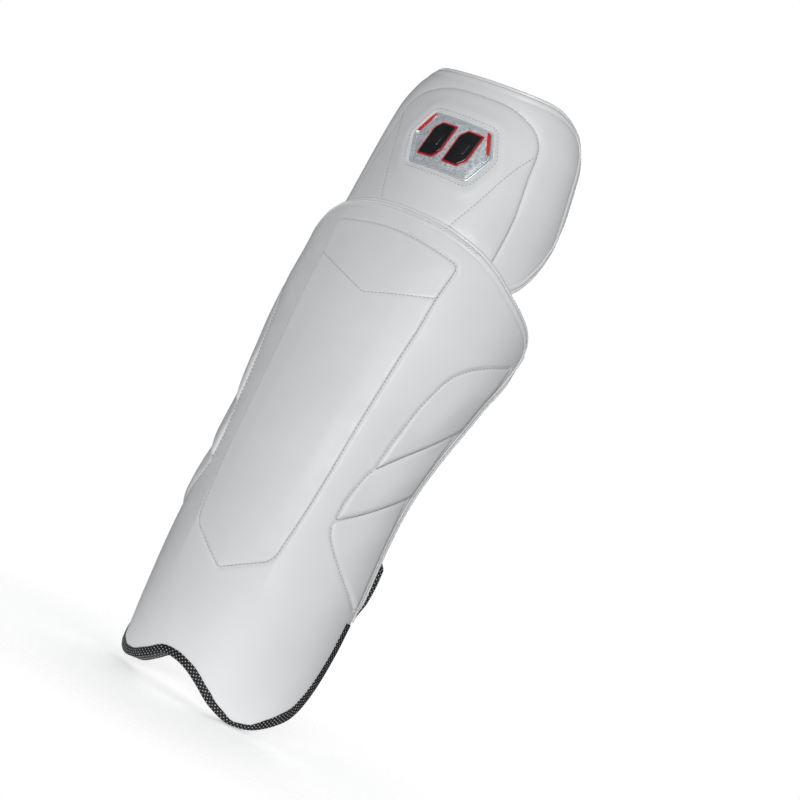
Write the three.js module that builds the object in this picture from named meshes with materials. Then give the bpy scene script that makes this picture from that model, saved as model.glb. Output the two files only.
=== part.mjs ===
// A wicket-keeper's cricket leg pad for one leg: a moulded shin face with raised panels, a knee cup behind
// its top edge, two padded side wings, leg bolsters, and two webbing straps that close through loop
// buckles.
// Millimetres. +Z runs up the leg, -Y is the front of the pad, and the origin lies on the leg's axis, level
// with the pad's lowest edge.
import * as THREE from "three";
import { mergeVertices } from "three/addons/utils/BufferGeometryUtils.js";

const LEG_AXIS_DEPTH = 70; // from the front of the shin face back to the leg's axis

// The two curved outer skins. Each is a half ellipse across the leg, and its half width, its depth from
// front to rear edge and the place of its front line change with the height.
const SHIN_SKIN = {
  halfWidth: [[0, 99], [120, 104], [250, 103], [360, 120], [394, 127], [430, 129], [492, 127]],
  depth: [[0, 94], [120, 88], [250, 83], [360, 93], [394, 98], [430, 103], [492, 94]],
  front: [[0, 10], [150, 0], [330, 0], [492, 6]],
};
const KNEE_SKIN = {
  halfWidth: [[430, 117], [480, 116], [600, 104], [630, 94], [648, 80]],
  depth: [[430, 94], [480, 93], [600, 64], [648, 54]],
  front: [[430, 17], [480, 17], [648, 26]],
};

// Outlines, as [angle round the leg in degrees, height]. The shin is a little shorter on its left side;
// the knee cup's left half mirrors its right one.
const SHIN_LOWER_RIGHT = [
  [0, 29], [8, 26], [16, 19.5], [27, 8], [37, 1.5], [44, 0],
  [55, 3], [68, 14.5], [78, 29], [85, 55], [89, 90], [90, 125],
];
const SHIN_LOWER_LEFT = [
  [8, 28], [16, 19.5], [27, 10], [37, 6.5], [44, 7],
  [55, 11], [68, 21], [78, 34], [85, 57], [89, 90], [90, 125],
];
const SHIN_UPPER_RIGHT = [
  [0, 492], [10, 491.5], [20, 490], [29, 486.5], [38, 482], [48, 474],
  [58, 464], [68, 455.5], [76, 449], [83, 442], [88, 434], [90, 424],
];
const SHIN_UPPER_LEFT = [
  [10, 491.5], [20, 489.5], [29, 485], [38, 479], [48, 469],
  [58, 457.5], [68, 448], [76, 441], [83, 434], [88, 427], [90, 419],
];
const KNEE_LOWER_EDGE = [
  [0, 440], [18, 440], [34, 444], [47, 452], [58, 463], [68, 480], [77, 505], [84, 530], [88, 556],
];
const KNEE_UPPER_EDGE = [
  [0, 641], [18, 641.5], [34, 643], [47, 644.5], [58, 645], [67, 643.5], [76, 640], [83, 632], [88, 612],
];

// Thicknesses and gaps.
const SHIN_FOAM = 14;
const SHIN_RIM = 7;
const KNEE_FOAM = 12;
const KNEE_RIM = 6;
const PANEL_RISE = 6;
const PANEL_GAP = 1.5;
const STIFFENER = 1.5;
const LINING = 2.5;
const GAP = 1.2;
const KNEE_GAP = 1.8;
const TRIM_HEIGHT = 8;
const TRIM_WRAP = 1;
const PIPING_RADIUS = 2.2;

// Side wings: the angles of their creased front edge and of their free rear edge.
const WING_FRONT_ANGLE = 54;
const WING_REAR_ANGLE = 97;
const WING_THICKNESS = 11;
const WING_EDGE = 6;
const WEBBING_ROOM = 3.2;

// Webbing, buckles and hook-and-loop tape.
const WEBBING = 2;
const STRAP_WIDTH = 62;
const BUCKLE = { length: 30, height: 76, bar: 4.5, thickness: 3.5, corner: 8 };
const STRAPS = [
  { name: "lower", height: 178, reach: 91, plane: 103.5, tailEnd: 62 },
  { name: "upper", height: 385, reach: 111, plane: 112, tailEnd: 68 },
];

const MATERIALS = {
  facing: { color: 0xdcdddf, roughness: 0.5 },
  piping: { color: 0xe6e7e8, roughness: 0.45 },
  board: { color: 0xc9c3b4, roughness: 0.7 },
  lining: { color: 0xdedde4, roughness: 0.9 },
  mesh: { color: 0xe2e1e8, roughness: 0.9 },
  print: { color: 0xa81418, roughness: 0.8 },
  trim: { color: 0x0c0c0e, roughness: 0.7 },
  webbing: { color: 0xdadcde, roughness: 0.8 },
  tape: { color: 0xd2d4d6, roughness: 0.95 },
  buckle: { color: 0x0d0d0e, roughness: 0.4 },
  silver: { color: 0xa9b0b4, roughness: 0.35, metalness: 0.3 },
  black: { color: 0x0b0b0c, roughness: 0.3 },
  red: { color: 0xb3101a, roughness: 0.35 },
};

const part = new THREE.Group();
const degrees = Math.PI / 180;
const mix = (a, b, t) => a + (b - a) * t;

function ramp(from, to, x) {
  const t = Math.min(1, Math.max(0, (x - from) / (to - from)));
  return t * t * (3 - 2 * t);
}

// A smooth curve through [x, value] stations, flat beyond both ends.
function along(stations, x) {
  const last = stations.length - 1;
  if (x <= stations[0][0]) return stations[0][1];
  if (x >= stations[last][0]) return stations[last][1];
  let i = 0;
  while (x > stations[i + 1][0]) i += 1;
  const slope = (k) => {
    const a = stations[Math.max(0, k - 1)];
    const b = stations[Math.min(last, k + 1)];
    return (b[1] - a[1]) / (b[0] - a[0]);
  };
  const [x0, y0] = stations[i];
  const [x1, y1] = stations[i + 1];
  const h = x1 - x0;
  const t = (x - x0) / h;
  const s = 1 - t;
  const start = y0 * (1 + 2 * t) * s * s + slope(i) * h * t * s * s;
  return start + y1 * t * t * (3 - 2 * t) - slope(i + 1) * h * t * t * s;
}

// The point of a skin at an angle round the leg and a height, so far inside the outer surface.
function onSkin(skin, angle, height, inside) {
  const w = along(skin.halfWidth, height);
  const d = along(skin.depth, height);
  const sin = Math.sin(angle * degrees);
  const cos = Math.cos(angle * degrees);
  const length = Math.hypot(d * sin, w * cos);
  const x = w * sin - (inside * d * sin) / length;
  const y = along(skin.front, height) + d * (1 - cos) + (inside * w * cos) / length;
  return new THREE.Vector3(x, y - LEG_AXIS_DEPTH, height);
}

const shin = (angle, height, inside) => onSkin(SHIN_SKIN, angle, height, inside);
const knee = (angle, height, inside) => onSkin(KNEE_SKIN, angle, height, inside);

const onLeft = (points) => points.map(([a, z]) => [-a, z]).reverse();
const mirrored = (half) => [...onLeft(half.slice(1)), ...half];

// An outline moved across itself by distance(angle, height) millimetres, to its left going along it.
const perDegree = (a) => mix(1.8, 1.15, ramp(40, 90, Math.abs(a)));
function moved(line, distanceAt) {
  return line.map(([a, z], i) => {
    const distance = distanceAt(a, z);
    const [a0, z0] = line[Math.max(0, i - 1)];
    const [a1, z1] = line[Math.min(line.length - 1, i + 1)];
    const across = (a1 - a0) * perDegree(a);
    const up = z1 - z0;
    const length = Math.hypot(across, up);
    return [a - (distance * up) / length / perDegree(a), z + (distance * across) / length];
  });
}

function add(name, geometry, material) {
  const mesh = new THREE.Mesh(geometry, new THREE.MeshStandardMaterial(MATERIALS[material]));
  mesh.name = name;
  part.add(mesh);
  return mesh;
}

// A closed body from rings of points: each ring joins the next, and flat fans of triangles close both ends.
function lofted(rings) {
  const n = rings[0].length;
  const points = rings.flat();
  const faces = [];
  for (let i = 0; i + 1 < rings.length; i += 1) {
    for (let j = 0; j < n; j += 1) {
      const a = i * n + j;
      const b = i * n + ((j + 1) % n);
      faces.push(a, b, a + n, b, b + n, a + n);
    }
  }
  const last = (rings.length - 1) * n;
  for (let j = 1; j + 1 < n; j += 1) {
    faces.push(0, j + 1, j);
    faces.push(last, last + j, last + j + 1);
  }
  return solid(points, faces);
}

function solid(points, faces) {
  const geometry = new THREE.BufferGeometry();
  geometry.setFromPoints(points);
  geometry.setIndex(faces);
  return outward(geometry);
}

// Turns every face round where the body's volume comes out negative.
function outward(geometry) {
  const p = geometry.getAttribute("position");
  const index = geometry.index.array;
  let volume = 0;
  const corner = (k) => new THREE.Vector3().fromBufferAttribute(p, index[k]);
  for (let i = 0; i < index.length; i += 3) volume += corner(i).dot(corner(i + 1).cross(corner(i + 2)));
  if (volume > 0) return geometry;
  for (let i = 0; i < index.length; i += 3) [index[i + 1], index[i + 2]] = [index[i + 2], index[i + 1]];
  return geometry;
}

// A curved slab on a skin. The lower and upper lines hold as many [angle, height] points each, and the slab
// fills the space between them, from outer(angle, height) to inner(angle, height) inside the skin.
function slab(surface, lower, upper, rows, outer, inner) {
  const cells = [];
  for (let i = 0; i <= rows; i += 1) {
    cells.push(lower.map(([a, z], j) => [mix(a, upper[j][0], i / rows), mix(z, upper[j][1], i / rows)]));
  }
  const columns = lower.length;
  const front = cells.flat().map(([a, z]) => surface(a, z, outer(a, z)));
  const back = cells.flat().map(([a, z]) => surface(a, z, inner(a, z)));
  const offset = front.length;
  const faces = [];
  const quad = (a, b, c, d) => faces.push(a, b, c, a, c, d);
  for (let i = 0; i < rows; i += 1) {
    for (let j = 0; j + 1 < columns; j += 1) {
      const k = i * columns + j;
      quad(k, k + 1, k + 1 + columns, k + columns);
      quad(offset + k, offset + k + columns, offset + k + 1 + columns, offset + k + 1);
    }
  }
  for (let j = 0; j + 1 < columns; j += 1) {
    quad(j, offset + j, offset + j + 1, j + 1);
    const k = rows * columns + j;
    quad(k, k + 1, offset + k + 1, offset + k);
  }
  for (let i = 0; i < rows; i += 1) {
    const k = i * columns;
    quad(k, k + columns, offset + k + columns, offset + k);
    const m = k + columns - 1;
    quad(m, offset + m, offset + m + columns, m + columns);
  }
  return solid([...front, ...back], faces);
}

// A binding or ribbon of rectangular section on a skin, between a line and the same line moved across
// itself.
function ribbon(surface, line, height, outer, inner) {
  const high = moved(line, height);
  return lofted(
    line.map(([a, z], i) => {
      const [b, y] = high[i];
      return [
        surface(a, z, outer(a, z)),
        surface(b, y, outer(b, y)),
        surface(b, y, inner(b, y)),
        surface(a, z, inner(a, z)),
      ];
    }),
  );
}

// A round cord of piping along points.
function piping(points, radius = PIPING_RADIUS) {
  const sides = 6;
  const ring = Array.from({ length: sides }, (_, i) => {
    const turn = (i / sides) * Math.PI * 2;
    return new THREE.Vector2(radius * Math.cos(turn), radius * Math.sin(turn));
  });
  const geometry = new THREE.ExtrudeGeometry(new THREE.Shape(ring), {
    steps: Math.round(points.length * 1.6),
    bevelEnabled: false,
    extrudePath: new THREE.CatmullRomCurve3(points),
  });
  return merged(geometry);
}

function merged(geometry) {
  const bare = geometry.clone();
  bare.deleteAttribute("normal");
  bare.deleteAttribute("uv");
  return outward(mergeVertices(bare, 1e-4));
}

// Straight-sided extrusion of a closed outline of [x, y] points in the leg's cross-section, from z0 to z1.
function upright(outline, z0, z1) {
  const shape = new THREE.Shape(outline.map(([x, y]) => new THREE.Vector2(x, y - LEG_AXIS_DEPTH)));
  const geometry = new THREE.ExtrudeGeometry(shape, { depth: z1 - z0, bevelEnabled: false });
  geometry.translate(0, 0, z0);
  return merged(geometry);
}

// Webbing that follows a line of [x, y] points seen from above, standing on edge from z0 to z1.
function webbing(line, thickness, z0, z1) {
  const side = (sign) =>
    line.map(([x, y], i) => {
      const [x0, y0] = line[Math.max(0, i - 1)];
      const [x1, y1] = line[Math.min(line.length - 1, i + 1)];
      const length = Math.hypot(x1 - x0, y1 - y0);
      const half = (sign * thickness) / 2;
      return [x - (half * (y1 - y0)) / length, y + (half * (x1 - x0)) / length];
    });
  return upright([...side(1), ...side(-1).reverse()], z0, z1);
}

// Depths of the layers inside the shin skin.
function shinFoam(angle, height) {
  const toSide = ramp(50, 88, Math.abs(angle));
  const toTop = ramp(425, 470, height);
  return mix(mix(SHIN_FOAM, SHIN_RIM, toSide), SHIN_RIM, toTop);
}
function kneeFoam(angle, height) {
  const toSide = ramp(50, 86, Math.abs(angle));
  const toRim = Math.max(ramp(600, 640, height), ramp(480, 450, height));
  return mix(mix(KNEE_FOAM, KNEE_RIM, toSide), KNEE_RIM, toRim);
}
const constant = (value) => () => value;
const deeper = (base, extra) => (a, z) => base(a, z) + extra;

function shinFace() {
  const edge = [...onLeft(SHIN_LOWER_LEFT), ...SHIN_LOWER_RIGHT];
  const trimHeight = (a, z) => mix(TRIM_HEIGHT, 2, ramp(60, 125, z));
  const lower = moved(edge, deeper(trimHeight, 1.2));
  const upper = [...onLeft(SHIN_UPPER_LEFT), ...SHIN_UPPER_RIGHT];
  add("shin_face", slab(shin, lower, upper, 14, constant(0), shinFoam), "facing");
  const trimBack = deeper(shinFoam, TRIM_WRAP);
  add("instep_trim", ribbon(shin, edge, trimHeight, constant(-TRIM_WRAP), trimBack), "trim");
  const rim = moved(upper, constant(PIPING_RADIUS + 0.9));
  const backward = new THREE.Vector3(0, PIPING_RADIUS + 0.8, 0);
  const beside = (height, side) => shin(side * 90, height, SHIN_RIM / 2).add(backward);
  add("knee_arc_piping", piping(rim.slice(1, -1).map(([a, z]) => shin(a, z, SHIN_RIM / 2))), "piping");
  for (const [name, side, top] of [["right", 1, 422], ["left", -1, 417]]) {
    const heights = [132, 180, 230, 280, 330, 365, 394, 408, top];
    add(`${name}_side_piping`, piping(heights.map((z) => beside(z, side))), "piping");
  }
}

// Raised foam panels on the shin face. Outlines run from a lower line to an upper line.
function shinPanels() {
  const proud = (a) => -PANEL_GAP - PANEL_RISE * (1 - 0.35 * ramp(30, 60, Math.abs(a)));
  const angleAt = (x, height) => Math.asin(x / along(SHIN_SKIN.halfWidth, height)) / degrees;
  const across = (halfWidth, height, sag) =>
    [-1, -0.8, -0.55, -0.28, 0, 0.28, 0.55, 0.8, 1].map((s) => {
      const z = height + sag * Math.abs(s);
      return [angleAt(s * halfWidth, z), z];
    });
  const flat = constant(-PANEL_GAP);
  add("shin_panel", slab(shin, across(43, 120, 28), across(61, 400, 21), 10, proud, flat), "facing");
  add("shin_cap_panel", slab(shin, across(62, 405, 21), across(64, 469, -8), 3, proud, flat), "facing");

  const sidePanels = {
    upper: {
      low: [[53, 267], [61, 286], [70, 303], [79, 319], [87, 335]],
      high: [[54, 352], [58, 368], [65, 382], [76, 394], [87, 405]],
    },
    middle: {
      low: [[45, 205], [55, 216], [66, 230], [76, 241], [87, 253]],
      high: [[51, 260], [60, 280], [69, 297], [78, 313], [87, 330]],
    },
    lower: {
      low: [[47, 186], [54, 174], [62, 160], [73, 148], [86, 137]],
      high: [[44, 199], [54, 211], [65, 225], [75, 236], [86, 248]],
    },
  };
  const sideRise = constant(-PANEL_GAP - PANEL_RISE * 0.5);
  for (const [level, { low, high }] of Object.entries(sidePanels)) {
    for (const [name, side] of [["right", 1], ["left", -1]]) {
      const turned = (line) => line.map(([a, z]) => [side * a, z]);
      const panel = slab(shin, turned(low), turned(high), 4, sideRise, flat);
      add(`${name}_side_panel_${level}`, panel, "facing");
    }
  }
}

// Behind the face: stiffening sheet, lining, two leg bolsters and the printed centre cushion.
const INNER_ANGLES = [-46, -36, -24, -12, 0, 12, 24, 36, 46];
const CUSHION_PLANE = 34; // depth of the flat rear face of the centre cushion, from the front of the face

// The depth of a layer inside the shin, straight behind a place across the pad.
function behind(x, height, inside) {
  let low = 0;
  let high = 90;
  for (let i = 0; i < 30; i += 1) {
    const angle = (low + high) / 2;
    if (shin(angle, height, inside(angle, height)).x < Math.abs(x)) low = angle;
    else high = angle;
  }
  return shin(low, height, inside(low, height)).y;
}

function shinInside() {
  const level = (height, drop) => INNER_ANGLES.map((a) => [a, height - drop * ramp(0, 40, Math.abs(a))]);
  const low = level(46, 22);
  const high = level(424, 0);
  const board = deeper(shinFoam, GAP);
  const boardBack = deeper(shinFoam, GAP + STIFFENER);
  const lining = deeper(shinFoam, 2 * GAP + STIFFENER);
  const liningBack = deeper(shinFoam, 2 * GAP + STIFFENER + LINING);
  add("shin_stiffener", slab(shin, level(58, 20), level(416, 0), 8, board, boardBack), "board");
  add("shin_lining", slab(shin, low, high, 10, lining, liningBack), "lining");
  const seat = deeper(liningBack, 1.6);

  const bolsterRows = [
    [34, 44, 9, 4], [42, 44, 15, 14], [62, 44, 18, 21], [110, 45, 17, 24], [230, 47, 17, 24],
    [330, 50, 18, 24], [390, 53, 17, 20], [406, 53, 10, 8],
  ];
  for (const [name, side] of [["right", 1], ["left", -1]]) {
    const rings = bolsterRows.map(([z, middle, half, thick]) => {
      const ring = [];
      const steps = 7;
      for (let i = 0; i <= steps; i += 1) {
        const turn = (i / steps) * Math.PI;
        const x = middle + half * Math.cos(turn);
        const rise = thick * Math.max(0, Math.sin(turn)) ** 0.7;
        ring.push(new THREE.Vector3(side * x, behind(x, z, seat) + rise, z));
      }
      for (const x of [middle - half * 0.4, middle + half * 0.4]) {
        ring.push(new THREE.Vector3(side * x, behind(x, z, seat) - 0.1, z));
      }
      return ring;
    });
    add(`${name}_leg_bolster`, lofted(rings), "mesh");
  }

  const cushionRows = [[50, 15], [120, 20], [200, 26], [300, 27], [400, 28]];
  add("centre_cushion", lofted(cushionRows.map(([z, half]) => {
    const front = (x) => behind(x, z, seat);
    const back = CUSHION_PLANE - LEG_AXIS_DEPTH;
    return [[-half, front(half)], [0, front(0)], [half, front(half)], [half, back], [-half, back]]
      .map(([x, y]) => new THREE.Vector3(x, y, z));
  })), "print");
  const tapeLine = [-46, -32, -16, 0, 16, 32, 46].map((a) => [a, 426]);
  const tape = ribbon(shin, tapeLine, constant(11), constant(SHIN_FOAM + 1), constant(SHIN_FOAM + 3));
  add("knee_hinge_tape", tape, "lining");
}

// The side wings nest inside the sides of the shin face and reach past its rear edges.
const WING_LOWER = [[54, 17], [60, 23], [68, 35], [76, 52], [85, 82], [92, 114], [97, 146]];
const WING_UPPER = [[54, 416], [60, 421], [68, 424], [76, 424], [83, 422], [88, 419], [92, 415]];
const wingOutside = (a, z) => shinFoam(a, z) + GAP + WEBBING_ROOM * ramp(56, 76, Math.abs(a));
function wingInside(a, z) {
  const t = Math.max(0, (Math.abs(a) - WING_FRONT_ANGLE) / (WING_REAR_ANGLE - WING_FRONT_ANGLE));
  const swell = Math.max(0, Math.sin(Math.PI * Math.min(1, t))) ** 0.6;
  return wingOutside(a, z) + mix(WING_EDGE, WING_THICKNESS, swell);
}

function wings() {
  for (const [name, side] of [["right", 1], ["left", -1]]) {
    const turned = (line) => line.map(([a, z]) => [side * a, z]);
    const wing = slab(shin, turned(WING_LOWER), turned(WING_UPPER), 10, wingOutside, wingInside);
    add(`${name}_wing`, wing, "lining");
    const below = moved(WING_LOWER, constant(-1)).filter(([a]) => a > 60);
    const line = moved(below, constant(-TRIM_HEIGHT));
    const trim = lofted(line.map(([a, z], i) => {
      const [b, y] = below[i];
      const wide = (p, q) => [wingOutside(p, q), wingInside(p, q) + 0.8].map((d) => shin(side * p, q, d));
      const [lowOut, lowIn] = wide(a, z);
      const [highOut, highIn] = wide(b, y);
      return [lowOut, highOut, highIn, lowIn];
    }));
    add(`${name}_wing_trim`, trim, "trim");
  }
}

// The knee cup.
function kneeCup() {
  const lower = mirrored(KNEE_LOWER_EDGE);
  const upper = mirrored(KNEE_UPPER_EDGE);
  add("knee_face", slab(knee, lower, upper, 10, constant(0), kneeFoam), "facing");

  const angleAt = (x, height) => Math.asin(x / along(KNEE_SKIN.halfWidth, height)) / degrees;
  const line = (points) => points.map(([x, z]) => [angleAt(x, z), z]);
  const rise = constant(-PANEL_GAP - PANEL_RISE * 0.75);
  const flat = constant(-PANEL_GAP);
  const centreLow = line([-34, -17, 0, 17, 34].map((x) => [x, 501]));
  const centreHigh = line([[-58, 606], [-32, 621], [0, 624], [32, 621], [58, 606]]);
  add("knee_centre_panel", slab(knee, centreLow, centreHigh, 7, rise, flat), "facing");
  for (const [name, side] of [["right", 1], ["left", -1]]) {
    const low = line([[37, 500], [58, 496], [79, 490]]).map(([a, z]) => [side * a, z]);
    const high = line([[62, 603], [67, 601], [72, 596]]).map(([a, z]) => [side * a, z]);
    add(`${name}_knee_panel`, slab(knee, low, high, 6, rise, flat), "facing");
  }

  const within = (edge, inset, sideInset) => edge.map(([a, z]) => [a * sideInset, z + inset]);
  const layer = (name, inset, sideInset, outer, inner, material) => {
    const low = within(lower, inset, sideInset);
    const high = within(upper, -inset, sideInset);
    add(name, slab(knee, low, high, 10, outer, inner), material);
  };
  const board = deeper(kneeFoam, KNEE_GAP);
  const lining = deeper(board, STIFFENER + KNEE_GAP);
  const seat = deeper(lining, LINING + KNEE_GAP);
  const bulge = (a, z) => Math.sqrt(Math.max(0, 1 - (a / 70) ** 2)) * ramp(452, 490, z) * ramp(626, 590, z);
  layer("knee_stiffener", 18, 0.84, board, deeper(board, STIFFENER), "board");
  layer("knee_lining", 11, 0.9, lining, deeper(lining, LINING), "lining");
  layer("knee_cushion", 25, 0.76, seat, (a, z) => seat(a, z) + mix(4, 13, bulge(a, z)), "print");
  const beside = (edge, inset) => within(edge, inset, 0.8).map(([a, z]) => knee(a, z, seat(a, z) + 3));
  const overTop = beside([...upper].reverse(), -21);
  const loop = [...beside(lower.slice(8), 21), ...overTop, ...beside(lower.slice(0, 8), 21)];
  add("knee_cushion_piping", piping(loop, 1.8), "trim");

  const rimPoint = ([a, z]) => knee(a, z, KNEE_RIM / 2);
  const outset = PIPING_RADIUS + 1.8;
  const rimLow = moved(lower, constant(-outset)).map(rimPoint);
  const rimHigh = moved(upper, constant(outset)).map(rimPoint).reverse();
  const backward = new THREE.Vector3(0, outset, 0);
  const up = (side) => [572, 592].map((z) => knee(side * 88, z, KNEE_RIM / 2).add(backward));
  const rim = [...rimLow.slice(11), ...up(1), ...rimHigh, ...up(-1).reverse(), ...rimLow.slice(0, 6)];
  add("knee_rim_piping", piping(rim), "piping");
}

// The badge: a six-sided moulded plate in the centre of the knee cup, with two raised blocks and two bars.
const BADGE = { height: 568, topHalf: 29, midHalf: 41, lowHalf: 31, top: 594, bottom: 541, thickness: 2.4 };

function badge() {
  const tilt = new THREE.Group();
  const at = knee(0, BADGE.height, -PANEL_RISE * 0.75 - PANEL_GAP - 0.8);
  const lean = along(KNEE_SKIN.front, BADGE.top) - along(KNEE_SKIN.front, BADGE.bottom);
  const slope = Math.atan2(lean, BADGE.top - BADGE.bottom);
  tilt.position.copy(at);
  tilt.rotation.x = Math.PI / 2 - slope;
  part.add(tilt);
  const put = (name, outline, from, to, material) => {
    const shape = new THREE.Shape(outline.map(([x, z]) => new THREE.Vector2(x, z - BADGE.height)));
    const geometry = merged(new THREE.ExtrudeGeometry(shape, { depth: to - from, bevelEnabled: false }));
    geometry.translate(0, 0, from);
    const mesh = new THREE.Mesh(geometry, new THREE.MeshStandardMaterial(MATERIALS[material]));
    mesh.name = name;
    tilt.add(mesh);
  };
  const { topHalf, midHalf, lowHalf, top, bottom, height, thickness } = BADGE;
  const plate = [
    [-lowHalf, bottom], [lowHalf, bottom], [midHalf, height],
    [topHalf, top], [-topHalf, top], [-midHalf, height],
  ];
  put("badge_plate", plate, 0, thickness, "silver");
  const rise = thickness + 0.4;
  const block = (x) => [[x, 552], [x + 14, 552], [x + 19, 557], [x + 23, 585], [x + 9, 585], [x + 4, 580]];
  put("badge_right_block", block(1.5), rise, rise + 1.4, "black");
  put("badge_left_block", block(-24.5), rise, rise + 1.4, "black");
  for (const [name, side] of [["right", 1], ["left", -1]]) {
    const bar = [[28.5, 590], [25.5, 590], [34.5, 571], [37.5, 571]].map(([x, z]) => [side * x, z]);
    put(`badge_${name}_bar`, bar, rise, rise + 0.9, "red");
  }
}

// Straps. Seen from above, the webbing leaves the right wing, crosses behind the leg, turns round the inner
// bar of a loop buckle and comes back over itself as a tail with hook tape. A short tab holds the buckle on
// the left wing.
function roundedFrame({ length, height, bar, corner }) {
  const rectangle = (path, x, z, r) => {
    path.moveTo(-x + r, -z);
    path.lineTo(x - r, -z);
    path.absarc(x - r, -z + r, r, -Math.PI / 2, 0);
    path.lineTo(x, z - r);
    path.absarc(x - r, z - r, r, 0, Math.PI / 2);
    path.lineTo(-x + r, z);
    path.absarc(-x + r, z - r, r, Math.PI / 2, Math.PI);
    path.lineTo(-x, -z + r);
    path.absarc(-x + r, -z + r, r, Math.PI, 1.5 * Math.PI);
    return path;
  };
  const shape = rectangle(new THREE.Shape(), length / 2, height / 2, corner);
  shape.holes.push(rectangle(new THREE.Path(), length / 2 - bar, height / 2 - bar, corner - bar + 1));
  return shape;
}

function strapSet({ name, height, reach, plane, tailEnd }) {
  const z0 = height - STRAP_WIDTH / 2;
  const z1 = height + STRAP_WIDTH / 2;
  const buckleX = -reach + 12;
  const outerBar = buckleX - BUCKLE.length / 2 + BUCKLE.bar / 2;
  const innerBar = buckleX + BUCKLE.length / 2 - BUCKLE.bar / 2;
  const under = plane + WEBBING / 2;
  const barMiddle = plane + WEBBING + 0.9 + BUCKLE.thickness / 2;
  const over = plane + 2 * WEBBING + 1.8 + BUCKLE.thickness - WEBBING / 2;
  const turn = BUCKLE.bar / 2 + 2.5;

  const options = { depth: BUCKLE.thickness, bevelEnabled: false, curveSegments: 4 };
  const buckle = merged(new THREE.ExtrudeGeometry(roundedFrame(BUCKLE), options));
  buckle.rotateX(Math.PI / 2);
  buckle.translate(buckleX, barMiddle + BUCKLE.thickness / 2 - LEG_AXIS_DEPTH, height);
  add(`${name}_buckle`, buckle, "buckle");

  const barEdge = BUCKLE.thickness / 2;
  const tab = [
    [-reach - 3, under], [-reach, under], [outerBar + 2.4, under], [outerBar + turn, barMiddle - barEdge],
    [outerBar + turn, barMiddle + barEdge], [outerBar + 2.4, over], [-reach - 3, over],
  ];
  add(`${name}_buckle_tab`, webbing(tab, WEBBING, z0, z1), "webbing");
  const strap = [
    [reach, under], [20, under], [innerBar - 2.4, under], [innerBar - turn, barMiddle - barEdge],
    [innerBar - turn, barMiddle + barEdge], [innerBar - 2.4, over], [innerBar + 3, over],
  ];
  add(`${name}_strap`, webbing(strap, WEBBING, z0, z1), "webbing");
  const tailY = plane + WEBBING + 3.6;
  const tail = [
    [innerBar + 4.2, over], [innerBar + 15, over - 0.2], [innerBar + 27, tailY], [tailEnd, tailY],
  ];
  add(`${name}_strap_tail`, webbing(tail, WEBBING, z0, z1), "webbing");
  const patchStart = innerBar + 32;
  const tape = (from, to, end) => {
    const ys = [plane + from, plane + to];
    return upright([[patchStart, ys[0]], [end, ys[0]], [end, ys[1]], [patchStart, ys[1]]], z0 + 4, z1 - 4);
  };
  add(`${name}_hook_tape`, tape(WEBBING + 1.4, WEBBING + 2.3, tailEnd - 4), "tape");
  add(`${name}_loop_tape`, tape(WEBBING + 0.3, WEBBING + 1.1, reach - 12), "tape");

  const anchorAngles = [76, 80, 84, 88, 92];
  const [low, high] = [z0, z1].map((z) => anchorAngles.map((a) => [a, z]));
  const anchor = slab(shin, low, high, 3, deeper(wingOutside, -WEBBING - 1), deeper(wingOutside, -1));
  add(`${name}_strap_anchor`, anchor, "webbing");
}

shinFace();
shinPanels();
shinInside();
wings();
kneeCup();
badge();
STRAPS.forEach(strapSet);

export default part;
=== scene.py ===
"""A wicket-keeper's cricket leg pad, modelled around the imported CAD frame. Lengths are in millimetres inside
the functions, in the frame's own axes, and turn into metres when a mesh is made."""

import math

import bmesh
import bpy
import numpy as np
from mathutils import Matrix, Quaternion, Vector


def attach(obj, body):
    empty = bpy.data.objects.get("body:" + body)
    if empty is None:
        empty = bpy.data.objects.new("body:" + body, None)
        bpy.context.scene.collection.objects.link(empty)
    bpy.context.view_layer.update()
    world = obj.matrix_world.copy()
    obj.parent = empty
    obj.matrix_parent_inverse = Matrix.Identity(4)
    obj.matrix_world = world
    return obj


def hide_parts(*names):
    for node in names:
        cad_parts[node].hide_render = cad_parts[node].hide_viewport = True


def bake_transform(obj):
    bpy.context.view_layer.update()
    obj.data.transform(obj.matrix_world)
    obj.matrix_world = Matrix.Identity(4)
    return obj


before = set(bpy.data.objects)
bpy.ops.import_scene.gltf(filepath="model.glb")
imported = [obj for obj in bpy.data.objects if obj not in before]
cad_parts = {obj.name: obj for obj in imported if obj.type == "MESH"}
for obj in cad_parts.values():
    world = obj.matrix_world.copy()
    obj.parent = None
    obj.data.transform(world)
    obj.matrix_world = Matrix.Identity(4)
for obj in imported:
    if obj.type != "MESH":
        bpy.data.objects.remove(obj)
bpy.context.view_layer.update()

LEG_AXIS = 70.0
FOLD = 3.6
SIDES = (("right", 1), ("left", -1))
SHIN = {
    "w": [(0, 99), (120, 104), (250, 103), (360, 120), (394, 127), (430, 129), (492, 127)],
    "d": [(0, 94), (120, 88), (250, 83), (360, 93), (394, 98), (430, 103), (492, 94)],
    "f": [(0, 10), (150, 0), (330, 0), (492, 6)],
}
KNEE = {
    "w": [(430, 117), (480, 116), (600, 104), (630, 94), (648, 80)],
    "d": [(430, 94), (480, 93), (600, 64), (648, 54)],
    "f": [(430, 17), (480, 17), (648, 26)],
}
SHIN_LOWER = [(-90, 125), (-89, 90), (-85, 57), (-78, 34), (-68, 21), (-55, 11), (-44, 7), (-37, 6.5),
              (-27, 10), (-16, 19.5), (-8, 28), (0, 29), (8, 26), (16, 19.5), (27, 8), (37, 1.5), (44, 0),
              (55, 3), (68, 14.5), (78, 29), (85, 55), (89, 90), (90, 125)]
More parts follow.
